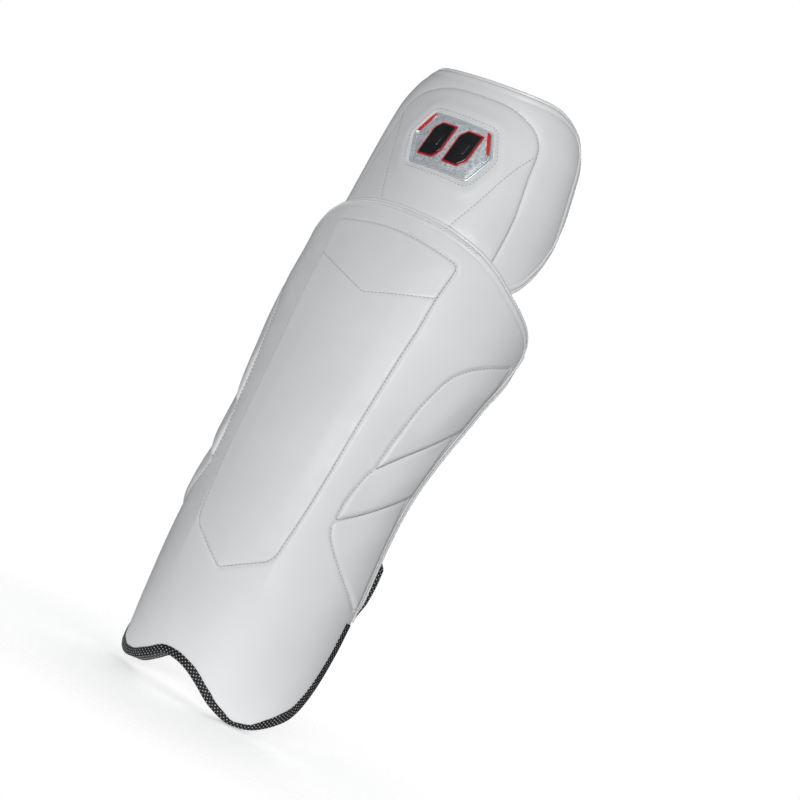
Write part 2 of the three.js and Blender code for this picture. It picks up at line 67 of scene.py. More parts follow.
SHIN_UPPER = [(-90, 419), (-88, 427), (-83, 434), (-76, 441), (-68, 448), (-58, 457.5), (-48, 469),
              (-38, 479), (-29, 485), (-20, 489.5), (-10, 491.5), (0, 492), (10, 491.5), (20, 490), (29, 486.5),
              (38, 482), (48, 474), (58, 464), (68, 455.5), (76, 449), (83, 442), (88, 434), (90, 424)]
KNEE_LOWER = [(0, 440), (18, 440), (34, 444), (47, 452), (58, 463), (68, 480), (77, 505), (84, 530), (88, 556)]
KNEE_UPPER = [(0, 641), (18, 641.5), (34, 643), (47, 644.5), (58, 645), (67, 643.5), (76, 640), (83, 632),
              (88, 612)]


# ---------------------------------------------------------------- curves and surfaces
def mix(a, b, t):
    return a + (b - a) * t


def ramp(lo, hi, x):
    t = np.clip((np.asarray(x, float) - lo) / (hi - lo), 0, 1)
    return t * t * (3 - 2 * t)


def fold(a, z):
    """The shin turns along the front panel's two long edges: how far it stands out there."""
    a = np.abs(a)
    edge = np.interp(z, [150, 206, 250, 314, 420, 462], [26.4, 29.4, 30.8, 30.4, 29.4, 31.2])
    near = np.clip(a / edge, 0, 1) ** 2.2
    far = np.maximum(0, 1 - (a - edge) / 44) ** 2
    return FOLD * np.where(a < edge, near, far) * ramp(70, 175, z) * ramp(500, 455, z)


def along(stations, x):
    """A smooth curve through the stations, flat beyond both ends."""
    xs = np.array([s[0] for s in stations], float)
    ys = np.array([s[1] for s in stations], float)
    slope = np.empty_like(ys)
    slope[1:-1] = (ys[2:] - ys[:-2]) / (xs[2:] - xs[:-2])
    slope[0] = (ys[1] - ys[0]) / (xs[1] - xs[0])
    slope[-1] = (ys[-1] - ys[-2]) / (xs[-1] - xs[-2])
    x = np.clip(np.asarray(x, float), xs[0], xs[-1])
    i = np.clip(np.searchsorted(xs, x, side="right") - 1, 0, len(xs) - 2)
    h = xs[i + 1] - xs[i]
    t = (x - xs[i]) / h
    s = 1 - t
    return (ys[i] * (1 + 2 * t) * s * s + slope[i] * h * t * s * s
            + ys[i + 1] * t * t * (3 - 2 * t) - slope[i + 1] * h * t * t * s)


def on(skin, angle, z, out=0.0):
    """Points of a skin at angles round the leg, in degrees, and heights, so far outside its surface."""
    angle, z, out = np.broadcast_arrays(np.asarray(angle, float), np.asarray(z, float), np.asarray(out, float))
    w, d, f = along(skin["w"], z), along(skin["d"], z), along(skin["f"], z)
    s, c = np.sin(np.radians(angle)), np.cos(np.radians(angle))
    n = np.hypot(d * s, w * c)
    return np.stack([w * s + out * d * s / n, f + d * (1 - c) - out * w * c / n - LEG_AXIS, z], -1)


def angle_of(skin, x, z):
    return np.degrees(np.arcsin(np.clip(np.asarray(x, float) / along(skin["w"], z), -1, 1)))


def in_angles(skin, points):
    return [(float(angle_of(skin, x, z)), z) for x, z in points]


def mirrored(half):
    return [(-a, z) for a, z in half[:0:-1]] + list(half)


def turned(points, side):
    return [(side * a, z) for a, z in points]


PER_DEGREE = 1.85


def flat(points):
    """Angles and heights as lengths in millimetres on the unrolled skin."""
    p = np.asarray(points, float)
    return np.stack([p[..., 0] * PER_DEGREE, p[..., 1]], -1)


def unflat(p):
    return np.stack([p[:, 0] / PER_DEGREE, p[:, 1]], -1)


def beside(p):
    """Unit vectors across a line on the unrolled skin."""
    t = np.gradient(p, axis=0)
    t /= np.linalg.norm(t, axis=1, keepdims=True)
    return np.stack([-t[:, 1], t[:, 0]], -1)


def lengths(path):
    """How far along a path each of its points lies."""
    return np.concatenate([[0], np.cumsum(np.linalg.norm(np.diff(path, axis=0), axis=1))])


def ruled(low, high, rows):
    """Angles and heights of a grid that fills the space between two lines."""
    v = np.linspace(0, 1, rows)[:, None, None]
    az = np.asarray(low)[None] * (1 - v) + np.asarray(high)[None] * v
    return az[..., 0], az[..., 1]


def resample(points, step, closed=False):
    p = flat(points)
    if closed:
        p = np.vstack([p, p[:1]])
    length = np.concatenate([[0], np.cumsum(np.hypot(*np.diff(p, axis=0).T))])
    n = max(4, int(round(length[-1] / step)))
    t = np.linspace(0, length[-1], n + 1)
    if closed:
        t = t[:-1]
    q = np.stack([np.interp(t, length, p[:, 0]), np.interp(t, length, p[:, 1])], -1)
    return unflat(q)


def spline(points, per=12):
    """A smooth line through the points."""
    p = np.asarray(points, float)
    p = np.vstack([2 * p[0] - p[1], p, 2 * p[-1] - p[-2]])
    out = []
    for i in range(1, len(p) - 2):
        t = np.linspace(0, 1, per, endpoint=False)[:, None]
        a, b, c, d = p[i - 1], p[i], p[i + 1], p[i + 2]
        out.append(0.5 * (2 * b + (c - a) * t + (2 * a - 5 * b + 4 * c - d) * t**2 + (3 * b - a - 3 * c + d) * t**3))
    out.append(p[-2][None])
    return np.vstack(out)


def rounded(points, radius):
    """A closed outline of angles and heights with its corners rounded, in millimetres of radius."""
    p = flat(points)
    out = []
    for i in range(len(p)):
        a, b, c = p[i - 1], p[i], p[(i + 1) % len(p)]
        la, lc = np.linalg.norm(a - b), np.linalg.norm(c - b)
        r = min(radius[i] if isinstance(radius, (list, tuple)) else radius, la * 0.48, lc * 0.48)
        s, e = b + (a - b) / la * r, b + (c - b) / lc * r
        for t in np.linspace(0, 1, 7):
            out.append((1 - t) ** 2 * s + 2 * t * (1 - t) * b + t * t * e)
    return unflat(np.array(out))


def distance(points, line, closed=True):
    """How far each point lies from a line, on the unrolled skin."""
    p = flat(points).reshape(-1, 2)
    a = flat(line)
    b = np.roll(a, -1, axis=0) if closed else a[1:]
    a = a if closed else a[:-1]
    best = np.full(len(p), 1e9)
    for i in range(0, len(p), 8000):
        q = p[i:i + 8000, None, :]
        ab = b - a
        t = np.clip(((q - a) * ab).sum(-1) / np.maximum((ab * ab).sum(-1), 1e-9), 0, 1)
        best[i:i + 8000] = np.sqrt((((a + ab * t[..., None]) - q) ** 2).sum(-1)).min(-1)
    return best.reshape(np.shape(points)[:-1])


def inside(points, line):
    p = flat(points).reshape(-1, 2)
    q = flat(line)
    r = np.roll(q, -1, axis=0)
    hit = np.zeros(len(p), bool)
    for (x0, y0), (x1, y1) in zip(q, r):
        if y0 == y1:
            continue
        cross = (y0 > p[:, 1]) != (y1 > p[:, 1])
        hit ^= cross & (p[:, 0] < (x1 - x0) * (p[:, 1] - y0) / (y1 - y0) + x0)
    return hit.reshape(np.shape(points)[:-1])


def ripple(points, scale, seed):
    """A smooth, repeatable wave field, about -1 to 1, for gentle unevenness."""
    rng = np.random.default_rng(seed)
    total = 0
    for _ in range(6):
        k = rng.normal(size=3) / scale
        total = total + np.sin(points @ k + rng.uniform(0, 6.28))
    return total / 3.2


# ---------------------------------------------------------------- meshes
def mesh(name, points, faces, attributes=None):
    data = bpy.data.meshes.new(name)
    points = np.asarray(points, float).reshape(-1, 3) * 0.001
    data.vertices.add(len(points))
    data.vertices.foreach_set("co", points.ravel())
    sizes = np.array([len(f) for f in faces])
    data.loops.add(int(sizes.sum()))
    data.loops.foreach_set("vertex_index", np.concatenate([np.asarray(f) for f in faces]).astype(np.int32))
    data.polygons.add(len(faces))
    data.polygons.foreach_set("loop_start", np.concatenate([[0], np.cumsum(sizes)[:-1]]).astype(np.int32))
    data.update(calc_edges=True)
    data.validate()
    data.polygons.foreach_set("use_smooth", np.full(len(faces), True))
    for key, values in (attributes or {}).items():
        attribute = data.attributes.new(key, "FLOAT_VECTOR", "POINT")
        attribute.data.foreach_set("vector", np.asarray(values, np.float32).ravel())
    obj = bpy.data.objects.new(name, data)
    bpy.context.scene.collection.objects.link(obj)
    bm = bmesh.new()
    bm.from_mesh(data)
    bmesh.ops.recalc_face_normals(bm, faces=bm.faces)
    bm.to_mesh(data)
    bm.free()
    return obj


def grid_faces(rows, columns, start=0, wrap=False):
    i, j = np.meshgrid(np.arange(rows - 1), np.arange(columns if wrap else columns - 1), indexing="ij")
    a = start + i * columns + j
    b = start + i * columns + (j + 1) % columns
    return list(np.stack([a, b, b + columns, a + columns], -1).reshape(-1, 4))


def loft(name, rings, attributes=None):
    """A closed body from rings of points."""
    rings = np.asarray(rings, float)
    n, m = rings.shape[:2]
    faces = grid_faces(n, m, wrap=True)
    points = np.vstack([rings.reshape(-1, 3), rings[0].mean(0), rings[-1].mean(0)])
    for ring, centre in ((0, n * m), (n - 1, n * m + 1)):
        faces += [np.array([ring * m + j, ring * m + (j + 1) % m, centre]) for j in range(m)]
    if attributes:
        attributes = {k: np.vstack([np.reshape(v, (-1, 3)), np.reshape(v, (n, m, 3))[[0, -1], 0]])
                      for k, v in attributes.items()}
    return mesh(name, points, faces, attributes)


def ring_faces(rows, columns):
    """Faces of a grid that closes on itself both ways."""
    i, j = np.meshgrid(np.arange(rows), np.arange(columns), indexing="ij")
    here, there, across = i * columns, (i + 1) % rows * columns, (j + 1) % columns
    return list(np.stack([here + j, here + across, there + across, there + j], -1).reshape(-1, 4))


def two_sided(name, top, low, attributes=None):
    """A closed body from two matching grids of points, joined round their edges."""
    n, m = top.shape[:2]
    faces = grid_faces(n, m) + [f[::-1] for f in grid_faces(n, m, n * m)]
    loop = ([(0, j) for j in range(m)] + [(i, m - 1) for i in range(1, n)]
            + [(n - 1, j) for j in range(m - 2, -1, -1)] + [(i, 0) for i in range(n - 2, 0, -1)])
    ids = np.array([i * m + j for i, j in loop])
    following = np.roll(ids, -1)
    faces += list(np.stack([ids, following, following + n * m, ids + n * m], -1))
    return mesh(name, np.vstack([top.reshape(-1, 3), low.reshape(-1, 3)]), faces, attributes)


def band(name, centre, thickness, edge=0.35):
    """A thick sheet round a grid of centre points, with rounded long edges. Its "flat" attribute holds the
    lengths along and across it, in millimetres."""
    centre = np.asarray(centre, float)
    n, m = centre.shape[:2]
    ds, dt = np.gradient(centre, axis=0), np.gradient(centre, axis=1)
    normal = np.cross(ds, dt)
    normal /= np.linalg.norm(normal, axis=-1, keepdims=True)
    step_s = np.linalg.norm(np.diff(centre, axis=0), axis=-1).mean(1)
    step_t = np.linalg.norm(np.diff(centre, axis=1), axis=-1).mean(0)
    s = np.concatenate([[0], np.cumsum(step_s)])
    t = np.concatenate([[0], np.cumsum(step_t)])
    half = np.full((n, m), thickness / 2)
    half[:, [0, -1]] *= edge
    half[[0, -1], :] *= 0.6
    top, low = centre + normal * half[..., None], centre - normal * half[..., None]
    st = np.stack(np.broadcast_arrays(s[:, None], t[None, :], 0.0), -1)
    under = st.copy()
    under[..., 2] = 1
    return two_sided(name, top, low, {"flat": np.vstack([st.reshape(-1, 3), under.reshape(-1, 3)])})


def tube(name, path, radii, normal=None, sides=14, ruffle=0.0, closed=False, seed=1):
    """A cord of oval section along a path: radii are (along the normal, across it)."""
    path = np.asarray(path, float)
    if closed:
        tangent = np.roll(path, -1, 0) - np.roll(path, 1, 0)
    else:
        tangent = np.gradient(path, axis=0)
    tangent /= np.linalg.norm(tangent, axis=1, keepdims=True)
    if normal is None:
        ref = np.tile([0.0, 0.0, 1.0], (len(path), 1))
        ref[np.abs(tangent[:, 2]) > 0.9] = [0, 1, 0]
        normal = ref
    normal = normal - tangent * (normal * tangent).sum(1, keepdims=True)
    normal /= np.linalg.norm(normal, axis=1, keepdims=True)
    side = np.cross(tangent, normal)
    s = lengths(path)
    turn = np.linspace(0, 2 * math.pi, sides, endpoint=False)
    wave = 1 + ruffle * np.sin(s[:, None] * 2 * math.pi / 3.4 + 1.5 * np.sin(turn + s[:, None] / 19) + seed) * (
        0.6 + 0.4 * np.sin(s[:, None] / 11 + seed))
    rings = (path[:, None] + normal[:, None] * (radii[0] * np.cos(turn) * wave)[..., None]
             + side[:, None] * (radii[1] * np.sin(turn) * wave)[..., None])
    st = np.stack(np.broadcast_arrays(s[:, None], turn[None] * radii[0], 0.0), -1)
    if closed:
        return mesh(name, rings, ring_faces(*rings.shape[:2]), attributes={"flat": st})
    return loft(name, rings, attributes={"flat": st})


def shell(name, skin, lower, upper, relief, depth, step):
    """A moulded skin between two lines: a fine outer surface with relief, a coarser inner one, and a rim."""
    ratio = 4
    lo, hi = np.asarray(lower, float), np.asarray(upper, float)
    us = [0.0]
    for i in range(len(lo) - 1):
        size = max(np.hypot(*(flat(lo)[i + 1] - flat(lo)[i])), np.hypot(*(flat(hi)[i + 1] - flat(hi)[i])))
        size = min(size, 24)
        n = max(1, int(round(size / step)))
        us += list(i + (np.arange(n) + 1) / n)
    cut = (len(us) - 1) % ratio
    if cut:
        mid = len(us) // 2
        for k in range(ratio - cut):
            us.insert(mid - 8 * k, (us[mid - 8 * k - 1] + us[mid - 8 * k]) / 2)
    us = np.array(us)
    index = np.arange(len(lo))
    low = np.stack([np.interp(us, index, lo[:, k]) for k in (0, 1)], -1)
    high = np.stack([np.interp(us, index, hi[:, k]) for k in (0, 1)], -1)
    nv = int(round((high[:, 1] - low[:, 1]).max() / step / ratio)) * ratio + 1
    a, z = ruled(low, high, nv)
    outer = on(skin, a, z, relief(a, z))
    ca, cz = a[::ratio, ::ratio], z[::ratio, ::ratio]
    inner = on(skin, ca, cz, -depth(ca, cz))
    n, m = a.shape
    p, q = ca.shape
    faces = grid_faces(n, m) + [f[::-1] for f in grid_faces(p, q, n * m)]

    def edge(fine, coarse):
        for k in range(len(coarse) - 1):
            f, (c0, c1) = fine[k * ratio:(k + 1) * ratio + 1], coarse[k:k + 2]
            half = ratio // 2
            faces.extend(np.array([f[t], f[t + 1], c0]) for t in range(half))
            faces.append(np.array([f[half], c1, c0]))
            faces.extend(np.array([f[t], f[t + 1], c1]) for t in range(half, ratio))

    ids, cids = np.arange(n * m).reshape(n, m), n * m + np.arange(p * q).reshape(p, q)
    edge(ids[0], cids[0])
    edge(ids[-1], cids[-1])
    edge(ids[:, 0], cids[:, 0])
    edge(ids[:, -1], cids[:, -1])
    return mesh(name, np.vstack([outer.reshape(-1, 3), inner.reshape(-1, 3)]), faces)


def panel(name, skin, outline, height, bottom=-1.1, step=1.5, rings=34, centre=None, power=1.7):
    """A raised padded panel inside an outline: height(angle, z, distance from the outline) is its upper side."""
    line = resample(outline, step, closed=True)
    c = np.asarray(centre if centre is not None else line.mean(0), float)
    k = 1 - (np.linspace(0, 1, rings) ** power) * 0.985
    az = c + (line[None] - c) * k[:, None, None]
    d = distance(az, line)
    top = on(skin, az[..., 0], az[..., 1], height(az[..., 0], az[..., 1], d))
    tip = on(skin, c[0], c[1], height(c[0], c[1], d[-1].mean()))
    n, m, p = rings, len(line), 6
    low_k = 1 - np.linspace(0, 1, p)[:, None, None] * 0.97
    low = c + (line[None] - c) * low_k
    floor_of = bottom if callable(bottom) else lambda a, z: bottom
    under = on(skin, low[..., 0], low[..., 1], floor_of(low[..., 0], low[..., 1]))
    last = on(skin, c[0], c[1], floor_of(c[0], c[1]))
    points = np.vstack([top.reshape(-1, 3), tip[None], under.reshape(-1, 3), last[None]])
    faces = grid_faces(n, m, wrap=True)
    faces += [np.array([(n - 1) * m + j, (n - 1) * m + (j + 1) % m, n * m]) for j in range(m)]
    s = n * m + 1
    faces += [f[::-1] for f in grid_faces(p, m, s, wrap=True)]
    faces += [np.array([s + (p - 1) * m + (j + 1) % m, s + (p - 1) * m + j, s + p * m]) for j in range(m)]
    faces += [np.array([j, s + j, s + (j + 1) % m, (j + 1) % m]) for j in range(m)]
    obj = mesh(name, points, faces)
    obj.data.set_sharp_from_angle(angle=math.radians(50))
    return obj


def stitches(name, rows, length=2.4, pitch=3.8, radius=0.36, lean=None):
    """Sewing thread as short capsules along rows of points, tilted towards the lean vectors if there are any."""
    profile = [(-1.0, 0.15), (-0.8, 0.75), (0.0, 1.0), (0.8, 0.75), (1.0, 0.15)]
    sides = 6
    turn = np.linspace(0, 2 * math.pi, sides, endpoint=False)
    points, faces, count = [], [], 0
    for row, path in enumerate(rows):
        path = np.asarray(path, float)
        s = lengths(path)
        for at in np.arange(pitch, s[-1] - pitch * 0.6, pitch):
            c = np.array([np.interp(at, s, path[:, k]) for k in range(3)])
            e = np.array([np.interp(at + 0.8, s, path[:, k]) for k in range(3)])
            t = (e - c) / max(np.linalg.norm(e - c), 1e-9)
            if lean is not None:
                t = t + np.array([np.interp(at, s, lean[row][:, k]) for k in range(3)])
                t /= np.linalg.norm(t)
            u = np.cross(t, [0.3, 1, 0.2])
            u /= np.linalg.norm(u)
            v = np.cross(t, u)
            for x, r in profile:
                points.append(c + t * x * length / 2
                              + radius * r * (np.cos(turn)[:, None] * u + np.sin(turn)[:, None] * v))
            end = count + len(profile) * sides
            faces += grid_faces(len(profile), sides, count, wrap=True)
            faces += [np.arange(count, count + sides)[::-1], np.arange(end - sides, end)]
            count = end
    return mesh(name, np.vstack(points), faces)


# ---------------------------------------------------------------- seams
SHIN_PANEL = [(-40, 144), (0, 119), (40, 144), (44.3, 152), (50.3, 206), (53, 250), (56.5, 314), (62.8, 425.2),
              (0, 402.8), (-62.8, 425.2), (-56.5, 314), (-53, 250), (-50.3, 206), (-44.3, 152)]
SHIN_CAP = [(0, 402.9), (62.8, 425.3), (67.3, 462.5), (0, 472), (-67.3, 462.5), (-62.8, 425.3)]
SIDE_UPPER = [(50.6, 261), (50.9, 299), (52.4, 334), (55.4, 364.6), (60.2, 380), (68.8, 392.8), (86.3, 407.5),
              (86.3, 332.5), (81, 321.3), (70, 299.6), (61, 283)]
SIDE_MIDDLE = [(44.6, 204), (44.8, 227), (49.6, 257.5), (61, 281.8), (70, 298.4), (81, 320.1), (86.3, 331.3),
               (86.3, 256), (80, 248), (68, 233), (56, 217.8)]
SIDE_LOWER = [(44.3, 202), (45.9, 191), (50.4, 181), (61.7, 164), (73, 151), (86.3, 137.5), (86.3, 254.8),
              (80, 246.8), (68, 231.8), (56, 216.6)]
SIDE_TOPS = {"upper": SIDE_UPPER[2:7], "middle": SIDE_MIDDLE[2:7], "lower": [SIDE_LOWER[0]] + SIDE_LOWER[:5:-1]}
KNEE_DOME = [(0, 626), (34, 625), (59, 617), (71, 606), (75.2, 593.5), (77.5, 571), (80.2, 551), (82.6, 530),
             (83.2, 507), (83, 486), (81.5, 468)]
KNEE_SEAM = [(75.2, 593.5), (69, 580), (63.5, 567), (58.6, 553), (54.1, 539), (49.6, 525.5), (43.8, 510),
             (38, 495), (30.5, 476)]
PLATE = [(-31, 539.5), (32.5, 539), (44.2, 569), (33.2, 594), (-30, 595), (-42.3, 569.5)]

shin_panel_line = rounded(in_angles(SHIN, SHIN_PANEL),
                          [3.5, 3.5, 3.5, 8, 20, 20, 20, 2.0, 2.5, 2.0, 20, 20, 20, 8])
shin_cap_line = rounded(in_angles(SHIN, SHIN_CAP), [2.5, 2.0, 8, 40, 8, 2.0])
front_line = rounded(in_angles(SHIN, SHIN_PANEL[:8] + SHIN_CAP[2:5] + SHIN_PANEL[9:]),
                     [3.5, 3.5, 3.5, 8, 20, 20, 20, 20, 8, 40, 8, 20, 20, 20, 20, 8])
cap_seam = np.array(in_angles(SHIN, [(-62.8, 425.2), (0, 402.8), (62.8, 425.2)]))
side_lines = {}
for level, points, radius in (("upper", SIDE_UPPER, [5, 14, 14, 12, 14, 14, 5, 4, 14, 14, 14]),
                              ("middle", SIDE_MIDDLE, [5, 14, 4, 14, 14, 14, 4, 4, 14, 14, 14]),
                              ("lower", SIDE_LOWER, [5, 8, 14, 14, 14, 5, 4, 14, 14, 14])):
    for side_name, side in SIDES:
        side_lines[side_name, level] = rounded(turned(points, side), radius)
dome_half = spline(in_angles(KNEE, KNEE_DOME), 8)
dome_line = np.vstack([np.stack([-dome_half[::-1, 0], dome_half[::-1, 1]], -1), dome_half[1:]])
seam_half = spline(in_angles(KNEE, KNEE_SEAM), 8)
plate_line = rounded(in_angles(KNEE, PLATE), 3)


def inset(line, by):
    """A closed outline drawn so far inside another, in millimetres on the unrolled skin."""
    p = flat(resample(line, 1.0, closed=True))
    t = np.roll(p, -1, 0) - np.roll(p, 1, 0)
    t /= np.linalg.norm(t, axis=1, keepdims=True)
    n = np.stack([-t[:, 1], t[:, 0]], -1)
    if ((p.mean(0) - p) * n).sum() < 0:
        n = -n
    q = p + n * by
    for _ in range(3):
        q = (np.roll(q, 1, 0) + 2 * q + np.roll(q, -1, 0)) / 4
    return unflat(q)


badge_line = inset(plate_line, -1.2)


def dish(d, width, depth):
    """How far a surface dips beside a seam."""
    return -depth * np.exp(-(d / width) ** 2)


def pillow(d, width, rise):
    """A padded edge: steep at the seam, then level."""
    t = np.clip(d / width, 0, 1)
    return rise * np.sqrt(np.maximum(0, 1 - (1 - t) ** 2.6))


# ---------------------------------------------------------------- shin, outside
def shin_foam(a, z):
    side = ramp(50, 88, np.abs(a))
    return mix(mix(14, 7, side), 7, ramp(425, 470, z))


def shin_relief(a, z):
    az = np.stack([a, z], -1)
    out = fold(a, z) + 0.35 * ripple(on(SHIN, a, z), 55, 3) * ramp(20, 60, z)
    front = np.minimum(distance(az, shin_panel_line), distance(az, shin_cap_line))
    near = front
    within = inside(az, shin_panel_line) | inside(az, shin_cap_line)
    for line in side_lines.values():
        near = np.minimum(near, distance(az, line))
        within |= inside(az, line)
    # The panel stands proud of the skin along its left edge, and sits in a crease elsewhere.
    depth = np.where(front <= near, mix(1.3, 0.25, ramp(-12, -22, a)), 1.3)
    out = out + np.where(within, -depth - (1.3 - depth) * ramp(0, 2, near), dish(near, 2.0, depth))
    arc = np.interp(a, [p[0] for p in SHIN_UPPER], [p[1] for p in SHIN_UPPER]) - z
    return out + dish(np.abs(arc - 5.6), 1.5, 0.7) + 0.3 * np.exp(-((arc - 2.5) / 2.0) ** 2) - 0.5 * ramp(2.0, 0, arc)


lower_in = [(a, z + 1.2) for a, z in SHIN_LOWER]
low_line, high_line = spline(lower_in, 6), spline(SHIN_UPPER, 6)
low_line[:, 0] = np.clip(low_line[:, 0], -90, 90)
high_line[:, 0] = np.clip(high_line[:, 0], -90, 90)
shin_face = shell("shin_face_skin", SHIN, low_line, high_line, shin_relief, shin_foam, step=1.3)

skin_pieces = [(shin_face, "shin_face")]


def below_skin(a, z):
    return fold(a, z) - 1.1


def shin_panel_height(a, z, d):
    """The panel and its cap share one padded surface, with a stitched crease between them."""
    az = np.stack([a, z], -1)
    out = distance(az, front_line)
    x = on(SHIN, a, z)[..., 0]
    crown = 0.8 * np.clip(1 - (x / 70) ** 2, 0, 1)
    crease = dish(distance(az, cap_seam, closed=False), 1.2, 0.3)
    wave = 0.3 * ripple(on(SHIN, a, z), 70, 5)
    return fold(a, z) - 0.5 + pillow(out, 3.8, 2.1) + crown * ramp(2, 25, out) + crease + wave


def side_panel(level, side):
    """A wedge that is full along its lower seam and runs down under the wedge above it."""
    top = np.array(turned(SIDE_TOPS[level], side))

    def height(a, z, d):
        upper = distance(np.stack([a, z], -1), top, closed=False)
        swell = 0.35 + 0.65 * ramp(0, 34, upper)
        lump = 0.25 * ripple(on(SHIN, a, z), 40, 6)
        return fold(a, z) - 0.7 + pillow(d, 6.5, 4.2) * swell + lump * ramp(0, 8, d)

    return height


skin_pieces.append((panel("shin_panel_skin", SHIN, shin_panel_line, shin_panel_height, bottom=below_skin,
                          centre=(0, 285)), "shin_panel"))
skin_pieces.append((panel("shin_cap_skin", SHIN, shin_cap_line, shin_panel_height, bottom=below_skin,
                          centre=(0, 438)), "shin_cap_panel"))
for (side_name, level), line in side_lines.items():
    height = side_panel(level, 1 if side_name == "right" else -1)
    skin_pieces.append((panel(f"{side_name}_side_skin_{level}", SHIN, line, height, bottom=below_skin, rings=26),
                        f"{side_name}_side_panel_{level}"))


# Seam thread on the shin, along the outline of every panel.
def seam_path(skin, line, out, closed=True):
    p = resample(line, 1.2, closed=closed)
    if closed:
        p = np.vstack([p, p[:1]])
    return on(skin, p[:, 0], p[:, 1], out(p[:, 0], p[:, 1]) if callable(out) else out)


def open_part(line, keep):
    """The longest stretch of a closed outline for which keep(angle, height) holds."""
    p = resample(line, 1.2, closed=True)
    ok = keep(p[:, 0], p[:, 1])
    if ok.all():
        return np.vstack([p, p[:1]])
    start = int(np.argmin(ok))
    p, ok = np.roll(p, -start, 0), np.roll(ok, -start)
    runs, run = [], []
    for q, good in zip(p, ok):
        if good:
            run.append(q)
        elif run:
            runs.append(run)
            run = []
    if run:
        runs.append(run)
    return np.array(max(runs, key=len))


def above_skin(out):
    return lambda a, z: fold(a, z) + out


shin_rows = [seam_path(SHIN, front_line, above_skin(0.05)),
             seam_path(SHIN, cap_seam, lambda a, z: shin_panel_height(a, z, np.full(a.shape, 9.0)) + 0.25,
                       closed=False)]
for (side_name, level), line in side_lines.items():
    part = open_part(line, lambda a, z: np.abs(a) < 85.6)
    if level != "upper":
        part = part[part[:, 1] < {"middle": 261, "lower": 201}[level]]
    if len(part) > 8:
        sunk = 0.1 if side_name == "right" else 0.45
        shin_rows.append(on(SHIN, part[:, 0], part[:, 1], fold(part[:, 0], part[:, 1]) - sunk))


def rim_path(skin, line, out_by, depth):
    """Points just beyond an edge of a skin, with the skin's normal there."""
    f = flat(resample(spline(line, 14), 1.3))
    q = unflat(f + beside(f) * out_by)
    outer, inner = on(skin, q[:, 0], q[:, 1], 0), on(skin, q[:, 0], q[:, 1], -1)
    return on(skin, q[:, 0], q[:, 1], -depth), outer - inner


arc, arc_normal = rim_path(SHIN, SHIN_UPPER, 1.3, 3.0)
knee_arc = tube("knee_arc_cord", arc, (3.0, 1.9), arc_normal, ruffle=0.05)
# Slanted stitches hold the cord's cover to the face.
whip_row = spline([(a, z - 2.4) for a, z in SHIN_UPPER if -56 < a < 46], 10)
whip_lean = resample(whip_row, 1.2)
whip_across = on(SHIN, whip_lean[:, 0], whip_lean[:, 1] + 1, 1) - on(SHIN, whip_lean[:, 0], whip_lean[:, 1], 1)
whip_out = shin_relief(whip_lean[:, 0], whip_lean[:, 1]) + 0.3
whip = stitches("whip_thread", [on(SHIN, whip_lean[:, 0], whip_lean[:, 1], whip_out)], length=4.0, pitch=3.3,
                radius=0.86, lean=[whip_across * 0.9])
side_cords, rear_cords = [], []
for side_name, side in SIDES:
    z = np.linspace(128, 425 if side > 0 else 420, 230)
    path = on(SHIN, side * 90, z, -2.4) + np.array([0, 1.8, 0])
    normal = on(SHIN, side * 90, z, 1) - on(SHIN, side * 90, z, 0)
    side_cords.append((tube(f"{side_name}_side_cord", path, (3.3, 2.6), normal, ruffle=0.02, seed=side),
                       f"{side_name}_side_piping"))
    out = (ramp(132, 150, z) * ramp(416, 384, z))[:, None]
    rear = path + np.array([-1.2 * side, 1.2, 0]) + out * np.array([1.0 * side, 3.6, 0])
    rear_cords.append((tube(f"{side_name}_rear_cord", rear, (3.7, 2.7), normal), False))
    low = slice(0, 47)
    heel = rear[low] + (ramp(120, 172, z[low]) * ramp(190, 182, z[low]))[:, None] * np.array([2.8 * side, 4.8, 0])
    rear_cords.append((tube(f"{side_name}_heel_binding", heel, (3.4, 2.3), normal[low]), True))


def binding(name, skin, line, height, outer, inner, lift=-0.9, wobble=0.35):
    """Woven binding folded over an edge: up the outside, round the edge and up the inside."""
    p = resample(spline(line, 14), 1.5)
    f = flat(p)
    up, s = beside(f), lengths(f)
    h = height(p[:, 0], p[:, 1]) + wobble * np.sin(s / 5.3) * np.sin(s / 13.7)
    profile = [(1.0, 0.1), (0.97, 0.75), (0.85, 1.05), (0.5, 1.2), (0.2, 1.15), (0.04, 0.7), (-0.04, -0.6)]
    rings, across = [], []
    for front, order in ((True, profile), (False, profile[::-1])):
        for u, off in order:
            a, z = unflat(f + up * (h * u + lift)[:, None]).T
            rings.append(on(skin, a, z, outer(a, z) + off if front else -inner(a, z) - off))
            across.append(u * h if front else -u * h - 5)
    st = np.stack(np.broadcast_arrays(s[:, None], np.stack(across, 1), 0.0), -1)
    return loft(name, np.stack(rings, 1), attributes={"flat": st})


def trim_height(a, z):
    return np.interp(a, [-90, -60, -30, 0, 25, 36, 44, 54, 64, 75, 90],
                     [6, 7.5, 8, 7.6, 8.2, 6, 4.2, 5.6, 9, 11.5, 11])


instep = binding("instep_binding", SHIN, SHIN_LOWER, trim_height, lambda a, z: 0 * z, shin_foam)


# ---------------------------------------------------------------- shin, inside
GAP, BOARD, LINING = 1.2, 1.5, 2.5


def lining_back(a, z):
    return shin_foam(a, z) + 2 * GAP + BOARD + LINING


def seat(a, z):
    return lining_back(a, z) + 1.6


